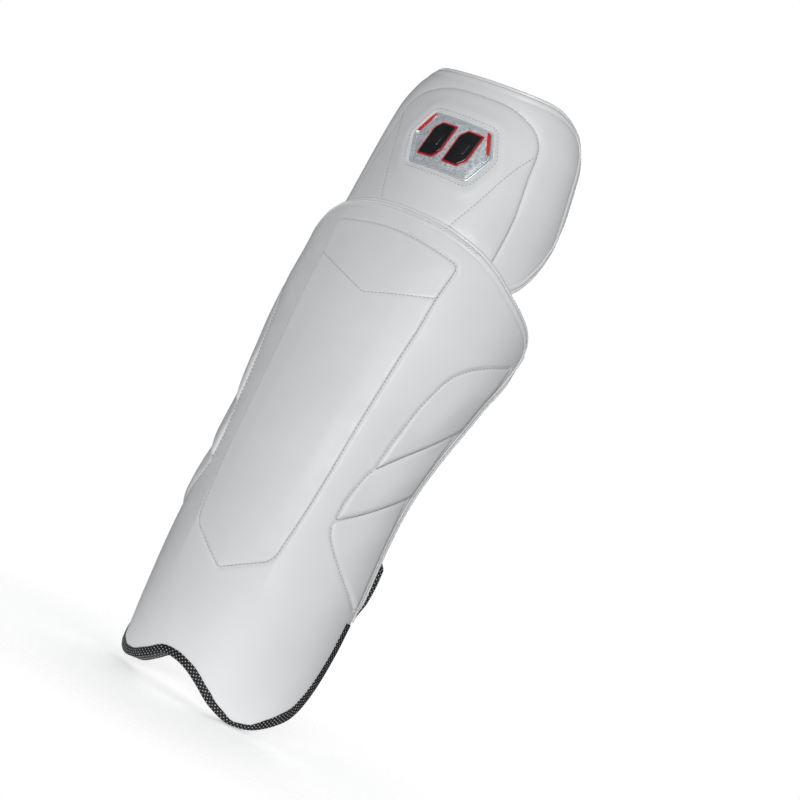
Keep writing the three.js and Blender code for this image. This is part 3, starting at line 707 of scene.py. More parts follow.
def behind(x, z, depth):
    """How far back a layer of the shin lies, straight behind a place across the pad."""
    x, z = np.broadcast_arrays(np.asarray(x, float), np.asarray(z, float))
    lo, hi = np.zeros(x.shape), np.full(x.shape, 90.0)
    for _ in range(26):
        a = (lo + hi) / 2
        less = on(SHIN, a, z, -depth(a, z))[..., 0] < np.abs(x)
        lo, hi = np.where(less, a, lo), np.where(less, hi, a)
    return on(SHIN, lo, z, -depth(lo, z))[..., 1]


def lining_sheet(name, skin, low, high, depth_at, thickness, rows=90):
    a, z = ruled(low, high, rows)
    return band(name, on(skin, a, z, -depth_at(a, z)), thickness)


angles = np.linspace(-46, 46, 70)
lining_low = np.stack([angles, 46 - 22 * ramp(0, 40, np.abs(angles))], -1)
lining_high = np.stack([angles, np.full_like(angles, 424)], -1)
lining = lining_sheet("shin_lining_sheet", SHIN, lining_low, lining_high,
                      lambda a, z: lining_back(a, z) - LINING / 2, 2.2)


def bolster(name, side):
    """A long soft roll that lies on the lining beside the shin bone."""
    stations = [(34, 44, 9, 5), (42, 44, 15, 14), (62, 44, 18, 21), (110, 45, 17, 24), (230, 47, 17, 24),
                (330, 50, 18, 24), (390, 53, 17, 20), (406, 53, 10, 8)]
    zs = np.concatenate([np.linspace(34, 60, 14), np.linspace(64, 376, 80), np.linspace(379, 406, 14)])
    mid, half, thick = (along([(s[0], s[k]) for s in stations], zs) for k in (1, 2, 3))
    turn = np.linspace(0, math.pi, 26)
    x = mid[:, None] + half[:, None] * np.cos(turn)
    rise = thick[:, None] * np.sin(turn) ** 0.72
    back = behind(x, np.broadcast_to(zs[:, None], x.shape), seat) + rise
    crease = 1.3 * np.exp(-((np.abs(x - mid[:, None]) / half[:, None] - 0.88) / 0.1) ** 2)
    top = np.stack([side * x, back - crease * np.sin(turn), np.broadcast_to(zs[:, None], x.shape)], -1)
    u = np.linspace(-0.9, 0.9, 8)
    xb = mid[:, None] + half[:, None] * u
    low = np.stack([side * xb, behind(xb, np.broadcast_to(zs[:, None], xb.shape), seat),
                    np.broadcast_to(zs[:, None], xb.shape)], -1)
    return loft(name, np.concatenate([top, low], 1))


def puff(obj, pressure, cap):
    """Padded fabric: a cloth simulation swells the piece, and each point moves no further than the cap."""
    frames = 16
    rest = np.array([v.co for v in obj.data.vertices])
    cloth = obj.modifiers.new("cloth", "CLOTH")
    settings = cloth.settings
    settings.quality, settings.mass = 5, 0.3
    settings.tension_stiffness = settings.compression_stiffness = 12
    settings.shear_stiffness, settings.bending_stiffness = 5, 0.6
    settings.use_pressure, settings.uniform_pressure_force = True, pressure
    settings.effector_weights.gravity = 0
    cloth.collision_settings.use_collision = False
    cloth.point_cache.frame_start, cloth.point_cache.frame_end = 1, frames
    for number in range(1, frames + 1):
        bpy.context.scene.frame_set(number)
    swollen = bpy.data.meshes.new_from_object(obj.evaluated_get(bpy.context.evaluated_depsgraph_get()))
    moved = np.array([v.co for v in swollen.vertices]) - rest
    length = np.linalg.norm(moved, axis=1, keepdims=True)
    moved *= np.minimum(1, cap * 0.001 / np.maximum(length, 1e-9))
    obj.modifiers.clear()
    obj.data.vertices.foreach_set("co", (rest + moved).ravel())
    obj.data.update()
    bpy.data.meshes.remove(swollen)
    bpy.context.scene.frame_set(1)


bolsters = [(bolster(f"{n}_bolster_roll", side), f"{n}_leg_bolster") for n, side in SIDES]


def centre_strip():
    """The printed pad down the middle, between the two rolls."""
    zs = np.concatenate([np.linspace(50, 58, 8), np.linspace(61, 389, 84), np.linspace(392, 400, 8)])
    half = along([(50, 15), (120, 20), (200, 26), (300, 27), (400, 28)], zs)
    end = np.minimum(np.minimum(zs - 50, 400 - zs) / 7, 1)
    end = np.sqrt(np.maximum(0, 1 - (1 - end) ** 2))
    u = np.linspace(-1, 1, 33)
    x = half[:, None] * u
    z = np.broadcast_to(zs[:, None], x.shape)
    front = behind(np.abs(x), z, seat)
    full = 34 - LEG_AXIS - front
    top = front + full * (0.35 + 0.65 * (1 - np.abs(u) ** 3.2)) * (0.25 + 0.75 * end[:, None])
    flat_s = np.stack(np.broadcast_arrays(x, z, 0.0), -1)
    upper = np.stack([x, top, z], -1)
    lower = np.stack([x, front, z], -1)[:, ::-1]
    rings = np.concatenate([upper, lower], 1)
    st = np.concatenate([flat_s, flat_s[:, ::-1]], 1)
    return loft("centre_strip_pad", rings, attributes={"flat": st})


cushion = centre_strip()

WING_LOWER = [(54, 17), (60, 23), (68, 35), (76, 52), (85, 82), (92, 114), (97, 146)]
WING_UPPER = [(54, 416), (60, 421), (68, 424), (76, 424), (83, 422), (88, 419), (92, 415)]


def wing_outside(a, z):
    return shin_foam(a, z) + GAP + 3.2 * ramp(56, 76, np.abs(a))


def wing_inside(a, z):
    t = np.clip((np.abs(a) - 54) / 43, 0, 1)
    return wing_outside(a, z) + mix(6, 11, np.maximum(0, np.sin(math.pi * t)) ** 0.6)


def splay(a, z, side):
    """The right wing's lower rear corner stands away from the leg."""
    return 7 * ramp(89, 97, np.abs(a)) * ramp(180, 140, z) if side > 0 else 0 * z


def wing(name, side):
    """A padded side flap: a closed quilted shape with a rounded rim."""
    nu, nv = 40, 150
    u = np.linspace(0, 1, nu)
    index = np.linspace(0, len(WING_LOWER) - 1, nu)
    lo = np.stack([np.interp(index, range(7), [p[k] for p in WING_LOWER]) for k in (0, 1)], -1)
    hi = np.stack([np.interp(index, range(7), [p[k] for p in WING_UPPER]) for k in (0, 1)], -1)
    v = np.linspace(0, 1, nv)
    a, z = ruled(lo, hi, nv)
    length = (z[-1] - z[0])[None]
    rim_v = np.minimum(v[:, None] * length, (1 - v[:, None]) * length) / 5.5
    rim_u = np.minimum(u[None] * 62, (1 - u[None]) * 62) / 5.5
    rim = np.minimum(np.sqrt(1 - (1 - np.clip(rim_v, 0, 1)) ** 2), np.sqrt(1 - (1 - np.clip(rim_u, 0, 1)) ** 2))
    rim = 0.3 + 0.7 * rim
    out, inn = wing_outside(a, z) - splay(a, z, side), wing_inside(a, z) - splay(a, z, side)
    mid, half = (out + inn) / 2, (inn - out) / 2 * rim
    quilt = 0.5 * ripple(on(SHIN, a, z), 30, 8 + side) * ramp(0.3, 1, rim)
    outer = on(SHIN, side * a, z, -(mid - half))
    inner = on(SHIN, side * a, z, -(mid + half + quilt * 0.6 - 0.5))
    return two_sided(name, outer, inner)


wings = [(wing(f"{n}_wing_pad", side), f"{n}_wing") for n, side in SIDES]
wing_trims, wing_cords = [], []
for side_name, side in SIDES:
    line = [(a, z - 1.0) for a, z in WING_LOWER]
    line = line if side > 0 else turned(line, -1)[::-1]
    wing_trims.append((binding(f"{side_name}_wing_binding", SHIN, line, lambda a, z: 15 + 0 * z,
                               lambda a, z, side=side: 0.35 - wing_outside(a, z) + splay(a, z, side),
                               lambda a, z, side=side: wing_inside(a, z) - 0.3 - splay(a, z, side),
                               lift=-0.6), f"{side_name}_wing_trim"))
    v = np.linspace(0, 1, 200)
    a = mix(97, 92, v)
    z = mix(146, 415, v)
    depth = (wing_outside(a, z) + wing_inside(a, z)) / 2 - splay(a, z, side)
    path = on(SHIN, side * (a + 0.35), z, -depth)
    normal = on(SHIN, side * a, z, 1) - on(SHIN, side * a, z, 0)
    wing_cords.append(tube(f"{side_name}_wing_cord", path, (2.4, 1.5), normal, ruffle=0.02, seed=side + 4))


# ---------------------------------------------------------------- knee cup
def knee_foam(a, z):
    side = ramp(50, 86, np.abs(a))
    rim = np.maximum(ramp(600, 640, z), ramp(480, 450, z))
    return mix(mix(12, 6, side), 6, rim)


# The dome is cut in three by its two stitched seams.
corner = int(np.argmin(np.abs(dome_half[:, 1] - KNEE_SEAM[0][1])))
knee_right_line = np.vstack([seam_half[:0:-1] + [0.01, 0], dome_half[corner:]])
knee_left_line = np.stack([-knee_right_line[:, 0], knee_right_line[:, 1]], -1)
right_run = np.vstack([dome_half[:corner + 1], seam_half[1:] - [0.01, 0]])
left_run = np.stack([-right_run[:, 0], right_run[:, 1]], -1)[::-1]
knee_centre_line = np.vstack([right_run, left_run[:-1]])


def lower_fade(z):
    return 0.22 + 0.78 * ramp(470, 498, z)


knee_seams = [np.array(turned([tuple(p) for p in seam_half], side)) for side in (1, -1)]
dome_closed = np.vstack([dome_line, [(dome_line[-1, 0], 452), (dome_line[0, 0], 452)]])


def dome_height(a, z):
    """The padded dome of the knee cup, with a shallow crease along its two inner seams."""
    az = np.stack([a, z], -1)
    out = distance(az, dome_closed)
    seam = np.minimum(distance(az, knee_seams[0], closed=False), distance(az, knee_seams[1], closed=False))
    crown = 1.2 * np.clip(1 - (a / 38) ** 2, 0, 1)
    lump = 0.25 * ripple(on(KNEE, a, z), 45, 9)
    full = pillow(out, 9, 3.4) + 1.1 * ramp(0, 26, out) + crown * ramp(2, 25, out) + lump
    return -0.8 + full * lower_fade(z) + dish(seam, 1.3, 0.22)


def knee_centre_height(a, z, d):
    az = np.stack([a, z], -1)
    badge_d = distance(az, badge_line)
    halo = 0.8 * np.exp(-((badge_d - 9) / 5.5) ** 2)
    return dome_height(a, z) + np.where(inside(az, badge_line), -1.3, halo + dish(badge_d, 1.2, 1.1))


def knee_relief(a, z):
    """The cup's skin dips round the dome and flares out again to its rim."""
    az = np.stack([a, z], -1)
    near = distance(az, dome_line, closed=False)
    within = inside(az, dome_closed)
    top = np.interp(np.abs(a), [p[0] for p in KNEE_UPPER], [p[1] for p in KNEE_UPPER]) - z
    low = z - np.interp(np.abs(a), [p[0] for p in KNEE_LOWER], [p[1] for p in KNEE_LOWER])
    rim = np.minimum(np.minimum(top, low), (88.5 - np.abs(a)) * PER_DEGREE * 0.6)
    base = 0.3 * ripple(on(KNEE, a, z), 50, 11) + 0.7 * np.exp(-((rim - 2.2) / 2.2) ** 2)
    base = base + dish(np.abs(rim - 5.6), 1.1, 0.55)
    return base + np.where(within, -1.6, dish(near, 1.8, 1.4) - 1.1 * np.exp(-(near / 8) ** 2))


knee_face = shell("knee_face_skin", KNEE, spline(mirrored(KNEE_LOWER), 6), spline(mirrored(KNEE_UPPER), 6),
                  knee_relief, knee_foam, step=1.5)
knee_pieces = [(knee_face, "knee_face"),
               (panel("knee_centre_skin", KNEE, knee_centre_line, knee_centre_height, step=1.3, rings=70,
                      centre=(0, 568), power=1.0), "knee_centre_panel")]
for side_name, line in (("right", knee_right_line), ("left", knee_left_line)):
    knee_pieces.append((panel(f"{side_name}_knee_skin", KNEE, line, lambda a, z, d: dome_height(a, z), rings=24),
                        f"{side_name}_knee_panel"))

knee_rows = [seam_path(KNEE, dome_line, -0.9, closed=False)]
for line in knee_seams:
    knee_rows.append(seam_path(KNEE, line[1:], lambda a, z: dome_height(a, z) + 0.3, closed=False))
badge_stitch = inset(plate_line, -4.6)
knee_rows.append(on(KNEE, badge_stitch[:, 0], badge_stitch[:, 1],
                    knee_centre_height(badge_stitch[:, 0], badge_stitch[:, 1], 0) + 0.1))
knee_seam_thread = stitches("knee_thread", knee_rows)
shin_thread = stitches("shin_thread", shin_rows)


def rim_loop(out_by, depth):
    """Points just beyond the whole rim of the knee cup, open behind the shin."""
    low, low_n = rim_path(KNEE, mirrored(KNEE_LOWER), -out_by, depth)
    high, high_n = rim_path(KNEE, mirrored(KNEE_UPPER), out_by, depth)
    right = low[:, 0] > 62
    left = low[:, 0] < -62
    z = np.linspace(558, 610, 36)
    step = on(KNEE, 88, z, -depth) + np.array([0.4, out_by, 0])
    step_n = on(KNEE, 88, z, 1) - on(KNEE, 88, z, 0)
    flip = np.array([-1, 1, 1])
    path = np.vstack([low[right], step, high[::-1], (step * flip)[::-1], low[left]])
    normal = np.vstack([low_n[right], step_n, high_n[::-1], (step_n * flip)[::-1], low_n[left]])
    for _ in range(6):
        path[1:-1] = (path[:-2] + 2 * path[1:-1] + path[2:]) / 4
    return path, normal


rim, rim_normal = rim_loop(1.4, 2.9)
knee_rim = tube("knee_rim_cord", rim, (3.1, 2.3), rim_normal, ruffle=0.03, seed=2)
# A thin black cord just behind the white rim cord: partly the black binding at the cup's back, partly painted shade
# for the dark gap behind the rim.
back_edge, back_normal = rim_loop(2.5, 6.4)
rim_binding_and_shade = tube("knee_back_binding_and_shade", back_edge, (1.7, 1.9), back_normal, ruffle=0.03, seed=3)


def knee_inside():
    """Lining, printed cushion and the cushion's cord inside the knee cup."""
    board = lambda a, z: knee_foam(a, z) + 1.8
    back = lambda a, z: board(a, z) + BOARD + 1.8 + LINING
    rest = lambda a, z: back(a, z) + 1.8

    def within(edge, rise, scale):
        line = spline(mirrored(edge), 5)
        return np.stack([line[:, 0] * scale, line[:, 1] + rise], -1)

    lining = lining_sheet("knee_lining_sheet", KNEE, within(KNEE_LOWER, 11, 0.9), within(KNEE_UPPER, -11, 0.9),
                          lambda a, z: back(a, z) - LINING / 2, 2.2)
    low, high = within(KNEE_LOWER, 25, 0.76), within(KNEE_UPPER, -25, 0.76)
    a, z = ruled(low, high, 70)
    d = distance(np.stack([a, z], -1), np.vstack([low, high[::-1]]))
    full = 4 + 9 * np.sqrt(np.maximum(0, 1 - (a / 70) ** 2)) * ramp(452, 490, z) * ramp(626, 590, z)
    thick = full * np.sqrt(1 - (1 - np.clip(d / 14, 0, 1)) ** 2) * 0.92 + 0.5
    top, under = on(KNEE, a, z, -(rest(a, z) + thick)), on(KNEE, a, z, -rest(a, z) + 0.2)
    flats = np.stack([a * 1.7, z, 0 * z], -1).reshape(-1, 3)
    pad = two_sided("knee_cushion_pad", top, under, {"flat": np.vstack([flats, flats])})
    low, high = within(KNEE_LOWER, 22, 0.79), within(KNEE_UPPER, -22, 0.79)
    ring = rounded([tuple(p) for p in np.vstack([low[::2], high[::-2]])], 8)
    ring = resample(ring, 1.6, closed=True)
    cord = tube("knee_cushion_cord", on(KNEE, ring[:, 0], ring[:, 1], -rest(ring[:, 0], ring[:, 1]) - 1.6),
                (1.8, 1.8), closed=True)
    return lining, pad, cord


knee_lining, knee_pad, knee_cord = knee_inside()


# ---------------------------------------------------------------- badge
BADGE_BASE = 3.5


def badge_slab(name, points, low, high, bevel=0.5, step=0.9, radius=0.0):
    """A piece of the badge: an outline that follows the curve of the cup, with a bevelled edge."""
    line = rounded(in_angles(KNEE, points), radius) if radius else np.array(in_angles(KNEE, points))
    rise = lambda a, z, d: BADGE_BASE + low + (high - low) * np.clip(0.15 + d / bevel, 0, 1)
    return panel(name, KNEE, line, rise, bottom=BADGE_BASE + low, step=step, rings=14, power=1.3)


plate = badge_slab("badge_base", PLATE, -1.4, 0.6, bevel=0.9, radius=3)
frame_lines = []
for k, (by, radii) in enumerate(((1.1, (1.1, 1.3)), (3.3, (0.7, 0.55)), (5.0, (0.6, 0.5)), (6.6, (0.5, 0.4)))):
    ring = inset(plate_line, by)
    if k > 1:
        ring = ring[(ring[:, 0] > 9) & (ring[:, 1] < 572)]
        ring = ring[np.argsort(ring[:, 0])]
    frame_lines.append(tube(f"badge_frame_{k + 1}", on(KNEE, ring[:, 0], ring[:, 1], BADGE_BASE + 0.75), radii,
                            normal=on(KNEE, ring[:, 0], ring[:, 1], 1) - on(KNEE, ring[:, 0], ring[:, 1], 0),
                            sides=10, closed=k < 2))


def block(x, grow=0.0):
    """A slanted block with two cut corners, grown outwards by so much."""
    return [(x - grow, 551 - grow), (x + 15 + grow * 0.6, 551 - grow), (x + 21 + grow, 557.5 - grow * 0.6),
            (x + 25 + grow, 586 + grow), (x + 10 - grow * 0.6, 586 + grow), (x + 4 - grow, 579.5 + grow * 0.6)]


marks, outlines = [], []
for side_name, x in (("right", 1.6), ("left", -26.6)):
    marks.append((badge_slab(f"badge_mark_{side_name}", block(x), 0.6, 2.3, bevel=0.7, step=0.7, radius=1.6),
                  f"badge_{side_name}_block"))
    marks.append((badge_slab(f"badge_ridge_{side_name}", [(x + 7, 562), (x + 16, 562), (x + 18, 575), (x + 9, 575)],
                             2.25, 2.9, bevel=0.6, step=0.7, radius=1.2), None))
    outlines.append(badge_slab(f"badge_outline_{side_name}", block(x, 1.4), 0.55, 1.2, bevel=0.4, step=0.8,
                               radius=2.2))
bars = []
for side_name, points in (("right", [(31.6, 592), (27.8, 592.3), (36.3, 571.5), (40.2, 571.5)]),
                          ("left", [(-29.9, 593), (-27, 593.2), (-36.8, 571.8), (-39.8, 571.8)])):
    bars.append((badge_slab(f"badge_bar_{side_name}", points, 0.5, 2.5, bevel=0.5, step=0.7),
                 f"badge_{side_name}_bar"))

# ---------------------------------------------------------------- straps
WEBBING = 2.0
STRAP_WIDTH = 62
# From the wing's edge in to the buckle's middle, from there to its bars, and the webbing's turn round a bar.
BUCKLE_IN, BAR_AT, BAR_TURN = 12, 12.75, 3.65
STRAPS = {
    "lower": {"height": 178, "reach": 91, "plane": 103.5, "tail": 62},
    "upper": {"height": 385, "reach": 111, "plane": 112, "tail": 68},
}


def swept(points, z0, z1, across=17):
    """Rows of a band's centre from a plan curve: (x, depth behind the shin's front) at every height."""
    p = np.asarray(points, float)
    z = np.linspace(z0, z1, across)
    x, y = (np.broadcast_to(p[:, k, None], (len(p), across)) for k in (0, 1))
    return np.stack([x, y - LEG_AXIS, np.broadcast_to(z[None], x.shape)], -1)


def even(points, step=1.6):
    p = np.asarray(points, float)
    s = lengths(p)
    t = np.linspace(0, s[-1], max(3, int(s[-1] / step)))
    return np.stack([np.interp(t, s, p[:, k]) for k in range(p.shape[1])], -1)


def anchored(z0, z1, side, plan, across=17):
    """A band sewn to the outside of a wing that turns round the wing's rear edge and follows a plan curve."""
    z = np.linspace(z0, z1, across)
    angles = np.linspace(77, 92.5, 14)
    out = 1.7 + splay(angles[:, None], z[None], side)
    first = on(SHIN, angles[:, None], z[None], out - wing_outside(angles[:, None], z[None]))
    first[..., 0] *= side
    rest = swept(plan, z0, z1, across)
    away = np.abs(rest[..., 0]) - np.abs(rest[0, 0, 0])
    rest[..., 0] += splay(97, rest[..., 2], side) * ramp(-42, -2, away)
    rows = np.concatenate([first, rest])
    for _ in range(5):
        rows[12:18] = (rows[11:17] + 2 * rows[12:18] + rows[13:19]) / 4
    return rows


straps, tails, tabs, buckles, hooks, loops = {}, {}, {}, {}, {}, {}
for name, s in STRAPS.items():
    z0, z1 = s["height"] - STRAP_WIDTH / 2, s["height"] + STRAP_WIDTH / 2
    buckle_x, plane = -s["reach"] + BUCKLE_IN, s["plane"]
    outer_bar, inner_bar = buckle_x - BAR_AT, buckle_x + BAR_AT
    under, middle, over = plane + 1, plane + 4.65, plane + 8.3
    bend = np.linspace(-math.pi / 2, -3 * math.pi / 2, 15)
    round_bar = np.stack([inner_bar - 1.1 + BAR_TURN * np.cos(bend), middle + BAR_TURN * np.sin(bend)], -1)
    corner = [(s["reach"] + 2.2, under - 8), (s["reach"] + 1.4, under - 3.6), (s["reach"] - 2, under - 0.8),
              (s["reach"] - 7, under)]
    x = np.linspace(s["reach"] - 7, inner_bar - 1.1, 90)
    # The webbing hangs a little slack between the wing and the buckle.
    slack = 0.5 * np.sin(np.linspace(0, math.pi, 90)) ** 2
    plan = np.vstack([spline(corner, 5), np.stack([x, under + slack], -1)[1:], round_bar[1:],
                      [(inner_bar + 1.5, over), (inner_bar + 4.0, over)]])
    straps[name] = band(f"{name}_strap_webbing", anchored(z0, z1, 1, even(plan)), WEBBING)
    tail_end = s["tail"]
    lift = [(inner_bar + 4.2, over), (inner_bar + 10, over - 0.1), (inner_bar + 15, over - 0.5),
            (inner_bar + 22, plane + 6.7), (inner_bar + 28, plane + 5.75), (inner_bar + 36, plane + 5.6),
            (tail_end - 18, plane + 5.6), (tail_end - 6, plane + 5.7), (tail_end, plane + 5.8)]
    tails[name] = band(f"{name}_tail_webbing", swept(even(spline(lift, 8)), z0, z1), WEBBING)
    loop_plan = even([(inner_bar + 32, plane + 2.75), (s["reach"] - 13, plane + 2.75)], 4)
    loops[name] = band(f"{name}_loop_pile", swept(loop_plan, z0 + 4, z1 - 4), 0.8)
    hook_plan = even([(inner_bar + 33, plane + 4.0), (tail_end - 4, plane + 4.0)], 4)
    hooks[name] = band(f"{name}_hook_pile", swept(hook_plan, z0 + 4, z1 - 4), 0.9)
    bend = np.linspace(-math.pi / 2, math.pi / 2, 15)
    tab_bar = np.stack([outer_bar + 1.1 + BAR_TURN * np.cos(bend), middle + BAR_TURN * np.sin(bend)], -1)
    tab_corner = [(-s["reach"] - 2.2, under - 8), (-s["reach"] - 1.4, under - 3.6), (-s["reach"] + 0.5, under - 0.6)]
    tab_plan = np.vstack([spline(tab_corner, 5), [(outer_bar - 0.5, under)], tab_bar,
                          [(outer_bar - 1, over), (-s["reach"] - 2, over - 0.3), (-s["reach"] - 4.3, over - 3.2),
                           (-s["reach"] - 4.9, over - 9)]])
    tabs[name] = band(f"{name}_tab_webbing", anchored(z0, z1, -1, even(tab_plan)), WEBBING)

    # The buckle: one moulded bar that runs round both slots.
    hx, hz, r = BAR_AT, 35.75, 6.0
    ring = []
    for cx, cz, a0 in ((hx - r, hz - r, 0), (-(hx - r), hz - r, 90), (-(hx - r), -(hz - r), 180),
                       (hx - r, -(hz - r), 270)):
        for t in np.linspace(0, 90, 10):
            ring.append((cx + r * math.cos(math.radians(a0 + t)), cz + r * math.sin(math.radians(a0 + t))))
    ring = np.array(ring)
    path = even(np.stack([buckle_x + ring[:, 0], np.full(len(ring), middle - LEG_AXIS), s["height"] + ring[:, 1]],
                         -1).tolist()
                + [[buckle_x + ring[0, 0], middle - LEG_AXIS, s["height"] + ring[0, 1]]], 1.2)[:-1]
    tangent = np.roll(path, -1, 0) - np.roll(path, 1, 0)
    tangent /= np.linalg.norm(tangent, axis=1, keepdims=True)
    out = np.cross(tangent, [0, 1, 0])
    turn = np.linspace(0, 2 * math.pi, 20, endpoint=False)
    c, q = np.cos(turn), np.sin(turn)
    section = np.stack([np.sign(c) * np.abs(c) ** 0.6 * 1.75, np.sign(q) * np.abs(q) ** 0.6 * 2.25], -1)
    rings = path[:, None] + section[None, :, :1] * np.array([0, 1, 0]) + section[None, :, 1:] * out[:, None]
    buckles[name] = mesh(f"{name}_buckle_loop", rings, ring_faces(*rings.shape[:2]))

# The fabric tape that joins the shin and the knee cup inside.
tape_v = np.linspace(426, 437, 12)[:, None]
tape_a = np.linspace(-45.5, 45.5, 70)[None]
hinge_tape = band("knee_hinge_webbing", on(SHIN, tape_a, tape_v, -16.0), 1.9)


# ---------------------------------------------------------------- padding that swells
for obj, pressure, cap in [(obj, 4.0, 5) for obj, cad in bolsters] + [(cushion, 4.0, 4), (knee_pad, 4.0, 4)] \
        + [(obj, 2.5, 2.5) for obj, cad in wings]:
    puff(obj, pressure, cap)


# ---------------------------------------------------------------- materials
class Value:
    """A number in a material's node tree: its operators and methods add nodes."""

    def __init__(self, paint, socket):
        self.paint, self.socket = paint, socket

    def math(self, operation, *others, clamp=False):
        return self.paint.value("Math", dict(enumerate((self, *others))), operation=operation, use_clamp=clamp)

    def __add__(self, other):
        return self.math("ADD", other)

    def __sub__(self, other):
        return self.math("SUBTRACT", other)

    def __mul__(self, other):
        return self.math("MULTIPLY", other)

    def __truediv__(self, other):
        return self.math("DIVIDE", other)

    def wave(self, k):
        return (self * k).math("SINE")

    def stretch(self, lo, hi, to_lo=0.0, to_hi=1.0):
        return self.paint.value("MapRange", {"Value": self, "From Min": lo, "From Max": hi, "To Min": to_lo,
                                             "To Max": to_hi})


class Paint:
    """A node material: a Principled shader and the nodes that drive it."""

    def __init__(self, name, colour, roughness=0.5, **sockets):
        self.mat = bpy.data.materials.new(name)
        self.mat.use_nodes = True
        self.shader = self.mat.node_tree.nodes["Principled BSDF"]
        self.shader.inputs["Base Color"].default_value = (*colour, 1)
        self.shader.inputs["Roughness"].default_value = roughness
        for key, value in sockets.items():
            self.shader.inputs[key.replace("_", " ")].default_value = value

    def node(self, kind, inputs, **settings):
        made = self.mat.node_tree.nodes.new("ShaderNode" + kind)
        for key, value in settings.items():
            setattr(made, key, value)
        for key, value in inputs.items():
            value = value.socket if isinstance(value, Value) else value
            if isinstance(value, bpy.types.NodeSocket):
                self.mat.node_tree.links.new(value, made.inputs[key])
            else:
                made.inputs[key].default_value = value
        return made

    def value(self, kind, inputs, output=0, **settings):
        return Value(self, self.node(kind, inputs, **settings).outputs[output])

    def vector(self, operation, a, b):
        return self.node("VectorMath", {0: a, ("Scale" if operation == "SCALE" else 1): b},
                         operation=operation).outputs[0]

    def place(self):
        return self.node("TexCoord", {}).outputs["Object"]

    def split(self, vector):
        return [Value(self, socket) for socket in self.node("SeparateXYZ", {"Vector": vector}).outputs]

    def flats(self):
        """The point on a strip, and its lengths along and across it in millimetres."""
        where = self.node("Attribute", {}, attribute_name="flat").outputs["Vector"]
        return where, *self.split(where)[:2]

    def noise(self, where, scale, detail=2.0, roughness=0.5, output="Fac"):
        return self.value("TexNoise", {"Vector": where, "Scale": scale, "Detail": detail,
                                       "Roughness": roughness}, output)

    def voronoi(self, output, inputs, **settings):
        return self.value("TexVoronoi", inputs, output, **settings)

    def mixed(self, factor, a, b):
        a, b = ((*c, 1) if isinstance(c, tuple) else c for c in (a, b))
        return self.value("Mix", {0: factor, 6: a, 7: b}, 2, data_type="RGBA")

    def drive(self, name, value):
        self.mat.node_tree.links.new(value.socket, self.shader.inputs[name])

    def colour(self, factor, a, b):
        self.drive("Base Color", self.mixed(factor, a, b))

    def bump(self, height, strength, size):
        self.drive("Normal", self.value("Bump", {"Height": height, "Strength": strength, "Distance": size}))


def leather(name, light, dark, roughness, grain, **sockets):
    """Coated facing: a fine pore grain, slight unevenness of tone and a few dull patches."""
    paint = Paint(name, light, roughness, **sockets)
    where = paint.place()
    paint.colour(paint.noise(where, 11, 3).stretch(0.35, 0.7), light, dark)
    pores = paint.voronoi("Distance", {"Vector": where, "Scale": 1300.0})
    fine, uneven = paint.noise(where, 600, 3, 0.6), paint.noise(where, 55, 2)
    paint.drive("Roughness", uneven.stretch(0.3, 0.7, roughness - 0.05, roughness + 0.06) + fine * 0.05)
    paint.bump(pores * 0.5 + (fine + uneven * 1.5), grain, 0.00025)
    return paint.mat


def cloth_white(name, light, dark, size, strength, roughness=0.85):
    """A plain weave from two crossed ribs."""
    paint = Paint(name, light, roughness, Sheen_Weight=0.25)
    x, _, z = paint.split(paint.place())
    k = 2 * math.pi / size
    weave = x.wave(k) * z.wave(k)
    fuzz = paint.noise(paint.place(), 420, 3)
    paint.colour(weave.stretch(-1, 1, 0, 0.5) + fuzz * 0.5, dark, light)
    paint.bump(weave + fuzz * 1.2, strength, 0.0003)
    return paint.mat


def knit(name, light, dark):
    """Spacer mesh: rows of small open cells that lean to one side."""
    paint = Paint(name, light, 0.8, Sheen_Weight=0.3)
    x, _, z = paint.split(paint.place())
    k = 2 * math.pi / 0.0026
    cells = (x + z * 0.55).wave(k) * (z - x * 0.55).wave(k * 0.7)
    hole = cells.math("SMOOTH_MAX", 0.0, 0.25)
    fuzz = paint.noise(paint.place(), 500, 2)
    paint.colour((hole * 0.8).math("ADD", fuzz * 0.25, clamp=True), light, dark)
    paint.bump(hole * -1.0, 0.6, 0.0006)
    return paint.mat


def printed():
    """Red knit printed with pairs of dark lines that cross at 45 degrees and break off in patches."""
    paint = Paint("print_parquet", (0.55, 0.02, 0.03), 0.75, Sheen_Weight=0.15)
    where, s, t = paint.flats()
    wobble = paint.vector("SUBTRACT", paint.noise(where, 0.03, 1.0, output="Color").socket, (0.5, 0.5, 0.5))
    bent = paint.vector("ADD", where, paint.vector("SCALE", wobble, 7.0))
    turned_uv = paint.node("Mapping", {"Vector": bent, "Rotation": (0, 0, math.radians(41))}).outputs[0]
    patch = paint.voronoi("Color", {"Vector": turned_uv, "Scale": 0.036, "Randomness": 0.85}, distance="CHEBYCHEV")
    repeat, gap = 12.5, 2.1
    pairs = []
    for across, shift in list(zip(paint.split(turned_uv), paint.split(patch)))[:2]:
        step = (across / repeat + shift).math("FRACT")
        line = (step * (repeat / gap)).math("FRACT").math("LESS_THAN", 0.46)
        pairs.append(step.math("LESS_THAN", 0.33) * line)
    fleck = paint.noise(where, 0.9, 3)
    red = paint.mixed(fleck.stretch(0.3, 0.75), (0.62, 0.011, 0.018), (0.40, 0.007, 0.012))
    paint.colour(pairs[0].math("MAXIMUM", pairs[1]), red, (0.012, 0.008, 0.010))
    k = 2 * math.pi / 1.5
    paint.bump(s.wave(k) * t.wave(k) + fleck, 0.35, 0.0003)
    return paint.mat


